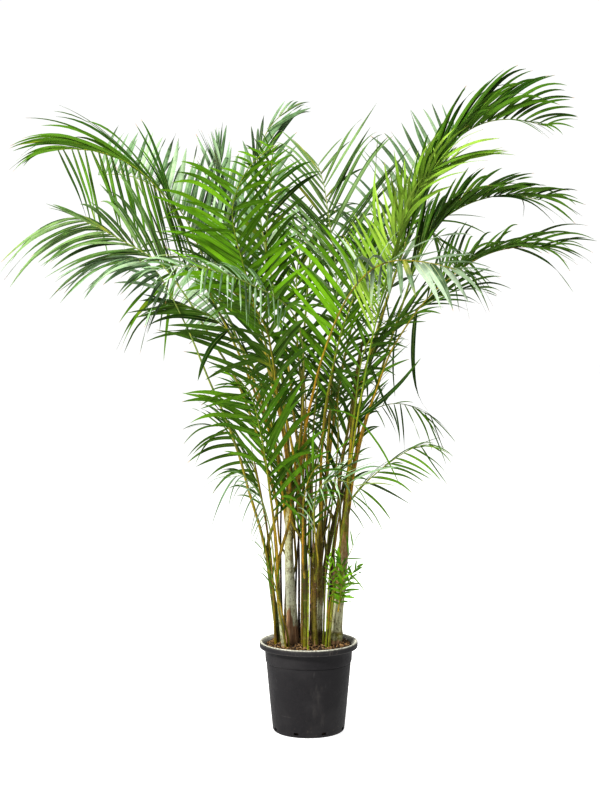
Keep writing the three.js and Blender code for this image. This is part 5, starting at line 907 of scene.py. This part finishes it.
for fi, (name, colour, width, ptext, sides, odd) in enumerate(FRONDS):
    frnd = np.random.default_rng(1000 + fi)
    knots = pts(ptext)
    thin = 0.62 if width <= 13 else (0.8 if width <= 16 else 1.0)
    M = 96
    C = catmull(knots, M)
    L = np.linalg.norm(np.diff(C, axis=0), axis=1).sum()
    T = tangents(C)
    t = np.linspace(0, 1, M)
    r = (0.8 + 3.3 * (1 - t) ** 0.8) * thin
    more, wider, tone, lift = AMOUNT.get(name, (1.0, 1.0, 0.0, 0.0))
    loose = 1.8 if name in LOOSE else 1.0
    pile = Pile(["along", "across", "rnd", "rnd2"])
    # ---- leaflets
    lines, us, ws, rn = [], [], [], []
    for si, (count, arch, text) in enumerate(sides):
        rows = pts(text)
        broad = width * WIDE * wider
        cap = 19.0 if colour == "palest" else 15.0
        n = max(3, int(round(count * COUNT * more * np.clip(broad / cap, 1.0, 1.4))))
        ts = np.linspace(rows[0, 0], rows[-1, 0], n)
        gap = (ts[-1] - ts[0]) / max(1, n - 1)
        ts = ts + gap * (0.5 * si - 0.25) * (ts < ts[-1] - 1e-6) + frnd.normal(0, 0.13, n) * gap
        ts = np.clip(ts, rows[0, 0] - 0.01, 0.998)
        off = np.stack([np.interp(ts, rows[:, 0], rows[:, k]) for k in (1, 2, 3)], 1)
        ln = np.linalg.norm(off, axis=1, keepdims=True)
        off = off * frnd.normal(1.0, 0.035, (n, 1)) + frnd.normal(0, 0.040 * loose, (n, 3)) * ln * np.array([1, 1.6, 1])
        off[:, 2] -= (frnd.random(n) < (0.0 if name in ("frond_26", "frond_28", "frond_30") else 0.07 * loose)) * frnd.uniform(0.2, 0.6, n) * ln[:, 0]
        if name == "frond_30" and si == 0:
            off = off * 1.15  # broad blades that hang from the midrib
        if name in ("frond_26", "frond_28"):
            off = off * 1.1
        c = at(C, ts)
        tt = unit(at(T, ts))
        lat = unit(off - tt * np.sum(off * tt, 1, keepdims=True))
        rr = np.interp(ts, t, r)
        root = c + lat * (rr * 0.55)[:, None]
        q = np.linspace(0, 1, RL)[None, :, None]
        ar = (arch + lift + frnd.normal(0, 0.03, n))[:, None]
        mid = root + off * 0.45 + np.array([[0, 0, 1.0]]) * ar * ln
        end = root + off
        line = (1 - q) ** 2 * root[:, None] + 2 * q * (1 - q) * mid[:, None] + q * q * end[:, None]
        # the last third hangs a little under its own weight
        hook = np.where(frnd.random((n, 1, 1)) < min(0.75, 0.42 * loose), frnd.uniform(0.05, 0.17, (n, 1, 1)), frnd.uniform(0.0, 0.045, (n, 1, 1)))
        sag = np.clip((q - 0.55) / 0.45, 0, 1) ** 2 * ln[:, None] * hook
        side = np.clip((q - 0.3) / 0.7, 0, 1) ** 2 * ln[:, None] * frnd.normal(0, 0.035 * loose, (n, 1, 1)) * tt[:, None]
        line = line - sag * np.array([0, 0, 1.0]) + side
        f = (ts - rows[0, 0]) / max(1e-6, rows[-1, 0] - rows[0, 0])
        wf = 0.78 + 0.22 * step(f, 0.0, 0.25) - 0.30 * step(f, 0.72, 1.0)
        lines.append(line)
        us.append(tt)
        if name == "frond_30":
            broad, cap = (24.0, 24.0) if si == 0 else (9.5, 9.5)
        ws.append(min(broad, cap) * wf * frnd.normal(1, 0.06, n) * np.clip(ln[:, 0] / 150, 0.6, 1.0))
    for wdt, text in list(odd) + (SPIKES if name == "frond_27" else []):
        path = pts(text)
        i = int(np.argmin(np.linalg.norm(C - path[0], axis=1)))
        path[0] = C[i]
        lines.append(catmull(path, RL)[None])
        us.append(T[i][None])
        ws.append(np.array([wdt * 0.95]))
    if name == "frond_34":
        for text, pairs, size in FANS:
            A = catmull(pts(text), 40)
            TA = tangents(A)
            for sgn in (-1, 1):
                for i in range(pairs):
                    g = (i + 0.5 + 0.25 * sgn) / pairs
                    c0, tg = at(A, 0.12 + 0.88 * g), unit(at(TA, 0.12 + 0.88 * g))
                    across = unit(np.cross(tg, (0.0, -1.0, 0.15)))
                    ang = math.radians(72 - 56 * g + frnd.normal(0, 6))
                    dirn = tg * math.cos(ang) + across * (sgn * math.sin(ang)) + np.array([0, frnd.normal(0, 0.25), 0])
                    ln_ = size * (0.65 + 0.5 * math.sin(math.pi * min(1, g * 0.9 + 0.15))) * frnd.uniform(0.9, 1.1)
                    qq = np.linspace(0, 1, RL)[:, None]
                    lines.append((c0 + dirn * ln_ * qq - np.array([0, 0, 1.0]) * ln_ * 0.16 * qq ** 2)[None])
                    us.append(tg[None])
                    ws.append(np.array([size * 0.17]))
    lines, us, ws = np.concatenate(lines), np.concatenate(us), np.concatenate(ws)
    P, vals = leaflets(lines, us, ws, frnd)
    N = len(P)
    r1, r2 = np.clip(frnd.uniform(0, 1, N) + tone, 0, 1), frnd.uniform(0, 1, N)
    if odd and name != "frond_27":
        r1[-len(odd):] = r1[-len(odd):] * 0.35  # the stray long leaflets are shaded ones
    if name == "frond_27":
        r1 = 0.35 + 0.65 * r1
    vals["rnd"], vals["rnd2"] = r1[:, None, None], r2[:, None, None]
    pile.tubes(P, vals, mat=0, under=UNDER, ucoord=SECT_U)
    # ---- midrib and petiole, then down to what it grows from
    cane = plan[name]
    lateral = np.cross(T[0], (0, 0, 1.0))
    p0 = C[0]
    d0 = -T[0]
    if cane is None:
        # a young shoot of its own: it goes down to the soil beside its neighbours
        rad0 = np.hypot(p0[0], p0[1])
        to = p0[:2] * min(0.92, 96 / max(rad0, 1)) * (0.80 if p0[2] > 420 else 0.92)
        foot = np.array([to[0] + frnd.normal(0, 3), to[1] + frnd.normal(0, 3), 240.0])
        span = p0[2] - foot[2]
        ctrl = p0 + d0 * span * 0.45 / max(0.35, -d0[2])
        ctrl[:2] = 0.5 * ctrl[:2] + 0.5 * foot[:2]
        q = np.linspace(0, 1, 60)[:, None]
        E = (1 - q) ** 2 * p0 + 2 * q * (1 - q) * ctrl + q * q * foot
        rE = r[0] + (np.clip(5.0 * thin, 3.4, 5.0) - r[0]) * step(q[:, 0], 0.05, 0.7) + 1.6 * step(q[:, 0], 0.88, 1.0)
        line = np.vstack([E[::-1][:-1], C])
        rad = np.concatenate([rE[::-1][:-1], r])
        al = np.concatenate([-q[::-1, 0][:-1], t])
        rachis(pile, line, rad, al, frnd.random(), K=12, channel=0.12)
    else:
        cl, cr = cane_lines[cane]
        order = sorted(claims[cane], key=lambda x: x[1])
        j = [x[0] for x in order].index(fi)  # 0 is the lowest and outermost
        k = len(order)
        zb = max(285.0, min(cl[-1][2] - 34 - 13 * (k - 1 - j), p0[2] - 75))
        q = np.linspace(0, 1, 56)
        i_b = int(np.argmin(np.abs(cl[:, 2] - zb)))
        base = cl[i_b]
        axis = unit(cl[min(i_b + 6, len(cl) - 1)] - cl[max(i_b - 6, 0)])
        reach = np.linalg.norm(p0 - base)
        out = p0 - base
        out = out - axis * (out @ axis)
        out = unit(out) if np.linalg.norm(out) > 1 else np.array([0.0, -1.0, 0.0])
        rc = float(np.interp(zb, cl[:, 2], cr))
        c1 = base + axis * reach * 0.46 + out * rc * 0.25
        c2 = p0 + d0 * reach * 0.34
        Q = q[:, None]
        E = (1 - Q) ** 3 * base + 3 * Q * (1 - Q) ** 2 * c1 + 3 * Q * Q * (1 - Q) * c2 + Q ** 3 * p0
        rE = r[0] + (0.86 * rc - r[0]) * (1 - step(q, 0.05, 0.6)) ** 1.2
        line = np.vstack([E[:-1], C])
        for _ in range(4):
            line[1:-1] = line[1:-1] * 0.5 + 0.25 * (line[:-2] + line[2:])
        rad = np.concatenate([rE[:-1], r])
        al = np.concatenate([-(1 - q[:-1]), t])
        rachis(pile, line, rad, al, frnd.random(), K=14, channel=0.10)
    if name == "frond_34":
        for text, pairs, size in FANS:
            A = catmull(pts(text), 40)
            rachis(pile, A, np.linspace(1.9, 0.5, 40), np.linspace(0.2, 1, 40), 0.5, K=8)
    look = {"frond_29": "deep", "frond_32": "mid", "frond_33": "mid", "frond_41": "deep", "frond_07": "deep"}.get(name, colour)
    ob = pile.make("palm_" + name, [LEAF[look], RIB["amber" if name in ("frond_29", "frond_30", "frond_22", "frond_18") else RIB_OF[look]]], sharp=24, aspect=5.5)
    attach(ob, "root")
    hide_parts(name)

# ------------------------------------------------------------------ pot
# profile points: radius, height and lip, the weight of the painted rim highlight on that ring
prof = [
    (0.0, 1.4, 0), (62.0, 1.4, 0), (66.0, 0.0, 0), (BODY_FOOT_R - FOOT_ROUND, 0.0, 0), (BODY_FOOT_R - 5.0, 0.6, 0), (BODY_FOOT_R - 2.2, 2.4, 0), (BODY_FOOT_R - 0.6, 4.9, 0), (BODY_FOOT_R, FOOT_ROUND, 0),
]
for i in range(1, 24):
    f = i / 24
    z = FOOT_ROUND + (STEP_Z - 1.6 - FOOT_ROUND) * f
    prof.append((BODY_FOOT_R + (BODY_TOP_R - BODY_FOOT_R) * f + 0.35 * math.sin(f * math.pi), z, 0))
prof += [
    (BODY_TOP_R - 0.3, STEP_Z - 1.4, 0), (BODY_TOP_R - 0.9, STEP_Z - 0.9, 0), (BODY_TOP_R - 0.8, STEP_Z - 0.2, 0), (BODY_TOP_R + 0.2, STEP_Z + 0.4, 0), (COLLAR_FOOT_R - 0.8, STEP_Z + 1.2, 0), (COLLAR_FOOT_R - 0.2, STEP_Z + 2.4, 0), (COLLAR_FOOT_R + 0.2, STEP_Z + 4, 0),
    (COLLAR_FOOT_R + 0.8, STEP_Z + 13, 0), (COLLAR_FOOT_R + 1.4, STEP_Z + 25, 0), (COLLAR_R, POT_HEIGHT - RIM_DEPTH - 2.5, 0), (COLLAR_R + 0.6, POT_HEIGHT - RIM_DEPTH - 0.6, 0), (COLLAR_R + 2.0, POT_HEIGHT - RIM_DEPTH, 0),
    (RIM_R - 3.4, POT_HEIGHT - RIM_DEPTH - 0.1, 0), (RIM_R - 1.4, POT_HEIGHT - RIM_DEPTH + 0.2, 0), (RIM_R - 0.4, POT_HEIGHT - RIM_DEPTH + 1.2, 0.05), (RIM_R - 0.1, POT_HEIGHT - RIM_DEPTH + 3.5, 0),
    (RIM_R, POT_HEIGHT - 8, 0), (RIM_R - 0.1, POT_HEIGHT - 3.4, 0.05), (RIM_R - 0.7, POT_HEIGHT - 1.6, 0.45), (RIM_R - 2.0, POT_HEIGHT - 0.4, 0.95), (RIM_R - 3.6, POT_HEIGHT, 1.0), (RIM_R - 5.4, POT_HEIGHT - 0.3, 1.0),
    (RIM_R - 7.2, POT_HEIGHT - 1.6, 0.9), (RIM_R - 9.4, POT_HEIGHT - 4.6, 0.6), (COLLAR_R - WALL + 1.4, POT_HEIGHT - RIM_DEPTH + 6, 0.35), (COLLAR_R - WALL, POT_HEIGHT - RIM_DEPTH, 0.15), (COLLAR_FOOT_R - WALL, STEP_Z + 3, 0),
    (BODY_TOP_R - WALL, STEP_Z - 2, 0), (BODY_FOOT_R - WALL - 1.5, FLOOR + 2, 0), (BODY_FOOT_R - WALL - 4, FLOOR, 0), (0.0, FLOOR, 0),
]
SEG = 160
bm = bmesh.new()
lip_layer = bm.verts.layers.float.new("lip")
scuff_layer = bm.verts.layers.float.new("scuff")
th = np.linspace(0, 2 * math.pi, SEG, endpoint=False)
rings = []
for r_, z_, lip in prof:
    if r_ == 0:
        v = bm.verts.new((0, 0, z_ * MM))
        rings.append([v])
        continue
    ring_v = []
    for a in th:
        # moulded pots are never quite round, and the rim waves a little
        wave = 0.35 * math.sin(2 * a + 0.7) + 0.2 * math.sin(3 * a + 2.1)
        k = r_ + wave * min(1, r_ / 100) * 0.7
        zz = z_ + (0.45 * math.sin(2 * a + 1.2) * (1 if z_ > 200 and z_ < POT_HEIGHT - 0.5 else 0))
        v = bm.verts.new((k * math.cos(a) * MM, k * math.sin(a) * MM, max(0.0, zz) * MM))
        v[lip_layer] = lip
        v[scuff_layer] = 0.8 if (z_ < 26 or z_ > 233) else 0.12
        ring_v.append(v)
    rings.append(ring_v)
for a, b in zip(rings[:-1], rings[1:]):
    for i in range(SEG):
        j = (i + 1) % SEG
        if len(a) == 1:
            bm.faces.new((a[0], b[j], b[i]))
        elif len(b) == 1:
            bm.faces.new((a[i], a[j], b[0]))
        else:
            bm.faces.new((a[i], a[j], b[j], b[i]))
bmesh.ops.recalc_face_normals(bm, faces=bm.faces)
for f_ in bm.faces:
    f_.smooth = True
me = bpy.data.meshes.new("nursery_pot")
bm.to_mesh(me)
bm.free()
pot = bpy.data.objects.new("nursery_pot", me)
bpy.context.scene.collection.objects.link(pot)
# drain slots with rounded ends at the foot of the wall
bm = bmesh.new()
for i in range(DRAIN_COUNT):
    ang = ((i + 0.55) / DRAIN_COUNT) * 2 * math.pi
    outline = []
    for j in range(20):
        a = j / 20 * 2 * math.pi
        cx = (DRAIN_W / 2 - DRAIN_H / 2) * (1 if math.cos(a) > 0 else -1)
        outline.append((cx + DRAIN_H / 2 * math.cos(a), FLOOR + 4 + DRAIN_H / 2 + DRAIN_H / 2 * math.sin(a)))
    lo = [bm.verts.new(((86 * math.cos(ang) - x * math.sin(ang)) * MM, (86 * math.sin(ang) + x * math.cos(ang)) * MM, z * MM)) for x, z in outline]
    hi = [bm.verts.new(((112 * math.cos(ang) - x * math.sin(ang)) * MM, (112 * math.sin(ang) + x * math.cos(ang)) * MM, z * MM)) for x, z in outline]
    for j in range(20):
        k = (j + 1) % 20
        bm.faces.new((lo[j], lo[k], hi[k], hi[j]))
    bm.faces.new(lo[::-1])
    bm.faces.new(hi)
bmesh.ops.recalc_face_normals(bm, faces=bm.faces)
cm = bpy.data.meshes.new("slots")
bm.to_mesh(cm)
bm.free()
cutter = bpy.data.objects.new("slots", cm)
bpy.context.scene.collection.objects.link(cutter)
mod = pot.modifiers.new("drain", "BOOLEAN")
mod.operation = "DIFFERENCE"
mod.solver = "EXACT"
mod.object = cutter
bpy.context.view_layer.update()
dg = bpy.context.evaluated_depsgraph_get()
cut = bpy.data.meshes.new_from_object(pot.evaluated_get(dg))
pot.modifiers.clear()
pot.data = cut
pot.data.name = "nursery_pot"
bpy.data.objects.remove(cutter)
pot.data.materials.clear()
pot.data.materials.append(POT_MAT)
pot.data.polygons.foreach_set("use_smooth", np.ones(len(pot.data.polygons), bool))
pot.data.set_sharp_from_angle(angle=math.radians(40))
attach(pot, "root")
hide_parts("pot")

# ------------------------------------------------------------------ soil
srnd = np.random.default_rng(77)
NR, NA = 44, 150


def lump(x, y):
    return 1.6 * np.sin(x * 0.11 + 1.3) * np.cos(y * 0.13) + 1.1 * np.sin(x * 0.31 + y * 0.17) + 0.9 * np.cos(y * 0.37 - x * 0.21) + 0.5 * np.sin(x * 0.9) * np.sin(y * 0.8)


def soil_height(x, y):
    rr = np.hypot(x, y)
    return SOIL_Z + 5.5 * (1 - (rr / 118) ** 2) - 1.0 * step(rr, 104, 118) + lump(x, y) * 0.7


edge_r = COLLAR_R - WALL - 0.7
rr = edge_r * np.linspace(0, 1, NR + 1)[1:]
aa = np.linspace(0, 2 * math.pi, NA, endpoint=False)
X, Y = rr[:, None] * np.cos(aa), rr[:, None] * np.sin(aa)
Z = soil_height(X, Y) - 1.5 + srnd.normal(0, 0.5, X.shape)
lower = [(edge_r, SOIL_Z - 14), (COLLAR_FOOT_R - WALL - 0.9, STEP_Z + 5), (BODY_TOP_R - WALL - 1.0, STEP_Z - 3), (BODY_FOOT_R - WALL - 4, 8.0), (60.0, 7.0)]
verts = [(0, 0, float(soil_height(np.array(0.0), np.array(0.0))) - 1.5)] + list(zip(X.ravel(), Y.ravel(), Z.ravel()))
for r_, z_ in lower:
    verts += [(r_ * math.cos(a), r_ * math.sin(a), z_) for a in aa]
verts.append((0, 0, 7.0))
faces = [(0, 1 + i, 1 + (i + 1) % NA) for i in range(NA)]
nring = NR + len(lower)
for r_ in range(nring - 1):
    for i in range(NA):
        j = (i + 1) % NA
        a0 = 1 + r_ * NA
        faces.append((a0 + i, a0 + NA + i, a0 + NA + j, a0 + j))
last = len(verts) - 1
a0 = 1 + (nring - 1) * NA
faces += [(last, a0 + (i + 1) % NA, a0 + i) for i in range(NA)]
V = np.array(verts)
chip = [0.0] * len(V)
rn = [0.3] * len(V)
V = [V]
count = len(verts)
CH = 900
for c in range(CH):
    a = srnd.uniform(0, 2 * math.pi)
    rad_ = edge_r * math.sqrt(srnd.uniform(0, 1)) * 0.985
    x, y = rad_ * math.cos(a), rad_ * math.sin(a)
    kind = srnd.random()
    if kind < 0.55:
        lx, ly, lz = srnd.uniform(3.5, 9), srnd.uniform(2.5, 6), srnd.uniform(1.6, 4)
    elif kind < 0.85:
        lx, ly, lz = srnd.uniform(7, 16), srnd.uniform(1.2, 2.6), srnd.uniform(0.8, 1.6)
    else:
        lx, ly, lz = srnd.uniform(1.6, 3.4), srnd.uniform(1.6, 3.4), srnd.uniform(1.4, 3)
    if rad_ > edge_r - lx * 0.6:
        rad_ = edge_r - lx * 0.6
        x, y = rad_ * math.cos(a), rad_ * math.sin(a)
    # a rough chip: a block with its corners pulled about and one extra ring
    ring = []
    K = 7
    for lv, sc in ((-1.0, 0.55), (-0.45, 1.0), (0.5, 0.95), (1.0, 0.5)):
        for k in range(K):
            t_ = k / K * 2 * math.pi
            j = srnd.uniform(0.72, 1.18)
            ring.append((math.cos(t_) * lx / 2 * sc * j, math.sin(t_) * ly / 2 * sc * j, lv * lz / 2 * srnd.uniform(0.85, 1.1)))
    B = np.array(ring)
    yaw, tilt, roll = srnd.uniform(0, 6.28), srnd.normal(0, 0.32), srnd.normal(0, 0.3)
    cy, sy = math.cos(yaw), math.sin(yaw)
    ct, st = math.cos(tilt), math.sin(tilt)
    cr_, sr = math.cos(roll), math.sin(roll)
    Rm = np.array([[cy, -sy, 0], [sy, cy, 0], [0, 0, 1]]) @ np.array([[ct, 0, st], [0, 1, 0], [-st, 0, ct]]) @ np.array([[1, 0, 0], [0, cr_, -sr], [0, sr, cr_]])
    B = B @ Rm.T
    zc = float(soil_height(np.array(x), np.array(y))) + srnd.uniform(-1.2, 1.6)
    B = B + (x, y, zc)
    rb = np.hypot(B[:, 0], B[:, 1])
    far = rb > edge_r - 0.3
    if far.any():
        B[far, 0] *= (edge_r - 0.3) / rb[far]
        B[far, 1] *= (edge_r - 0.3) / rb[far]
    V.append(B)
    for lvl in range(3):
        for k in range(K):
            k2 = (k + 1) % K
            o_ = count + lvl * K
            faces.append((o_ + k, o_ + k2, o_ + K + k2, o_ + K + k))
    faces.append(tuple(count + k for k in range(K - 1, -1, -1)))
    faces.append(tuple(count + 3 * K + k for k in range(K)))
    count += 4 * K
    chip += [1.0] * (4 * K)
    rn += [float(srnd.beta(2.0, 2.2))] * (4 * K)
V = np.concatenate(V) * MM
me = bpy.data.meshes.new("coco_soil")
me.from_pydata(V.tolist(), [], faces)
me.validate()
a_ = me.attributes.new("chip", "FLOAT", "POINT")
a_.data.foreach_set("value", np.array(chip, np.float32))
a_ = me.attributes.new("rnd", "FLOAT", "POINT")
a_.data.foreach_set("value", np.array(rn, np.float32))
me.polygons.foreach_set("use_smooth", np.array([len(p.vertices) != 7 and p.index < NA * nring + 2 * NA for p in me.polygons], bool))
me.materials.append(SOIL_MAT)
soil = bpy.data.objects.new("coco_soil", me)
bpy.context.scene.collection.objects.link(soil)
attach(soil, "root")
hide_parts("soil")

# ------------------------------------------------------------------ studio
def floor_material():
    m = Nodes("studio_floor")
    n = m.noise(m.obj(), 3.0, 3.0)
    col = m.ramp(n, [(0.3, (0.44, 0.44, 0.44)), (0.7, (0.46, 0.46, 0.46))])
    p = m.principled(col, m.span(n, 0.3, 0.7, 0.75, 0.85), None, spec=0.2)
    p.node.inputs["Emission Color"].default_value = (1.0, 1.0, 1.0, 1.0)
    p.node.inputs["Emission Strength"].default_value = 0.86
    return m.done(p)


me = bpy.data.meshes.new("floor")
S = 30.0
me.from_pydata([(-S, -S, -0.0005), (S, -S, -0.0005), (S, S, -0.0005), (-S, S, -0.0005)], [], [(0, 1, 2, 3)])
me.materials.append(floor_material())
floor = bpy.data.objects.new("floor", me)
bpy.context.scene.collection.objects.link(floor)

scene = bpy.context.scene
world = bpy.data.worlds.new("studio")
scene.world = world
world.use_nodes = True
bg = world.node_tree.nodes["Background"]
wt = world.node_tree
tc = wt.nodes.new("ShaderNodeTexCoord")
sep = wt.nodes.new("ShaderNodeSeparateXYZ")
wr = wt.nodes.new("ShaderNodeMapRange")
wr.interpolation_type = "SMOOTHSTEP"
wt.links.new(tc.outputs["Generated"], sep.inputs[0])
wt.links.new(sep.outputs[2], wr.inputs[0])
for i, v in enumerate((0.30, 0.62, 1.0, SKY)):
    wr.inputs[i + 1].default_value = v
wt.links.new(wr.outputs[0], bg.inputs[1])
bg.inputs[0].default_value = (WORLD, WORLD, WORLD, 1.0)


def area(name, loc, aim, size, power, color=(1, 1, 1)):
    l = bpy.data.lights.new(name, "AREA")
    l.shape = "DISK"
    l.size = size
    l.energy = power
    l.color = color
    o = bpy.data.objects.new(name, l)
    o.location = loc
    o.rotation_euler = (Vector(aim) - Vector(loc)).to_track_quat("-Z", "Y").to_euler()
    scene.collection.objects.link(o)
    return o


area("key", (-2.4, -3.0, 3.6), (0, 0, 0.9), 1.1, KEY, (1.0, 0.985, 0.96))
area("fill", (3.2, -2.6, 1.6), (0, 0, 0.9), 2.4, FILL, (0.97, 0.985, 1.0))
area("top", (0.6, 1.4, 4.2), (0, 0, 1.0), 2.2, TOP, (1.0, 1.0, 1.0))

cam = bpy.data.cameras.new("camera")
cam.lens = 68.85
cam.sensor_width = 36.0
cam.sensor_fit = "AUTO"
cam.clip_end = 200
camera = bpy.data.objects.new("camera", cam)
camera.location = (-0.024, -4.24, 1.153)
camera.rotation_euler = (math.radians(90 - 3.07), 0.0, 0.0)
scene.collection.objects.link(camera)
scene.camera = camera
scene.view_settings.view_transform = "Standard"
scene.view_settings.look = "None"
scene.view_settings.exposure = 0.0
scene.view_settings.gamma = 0.82
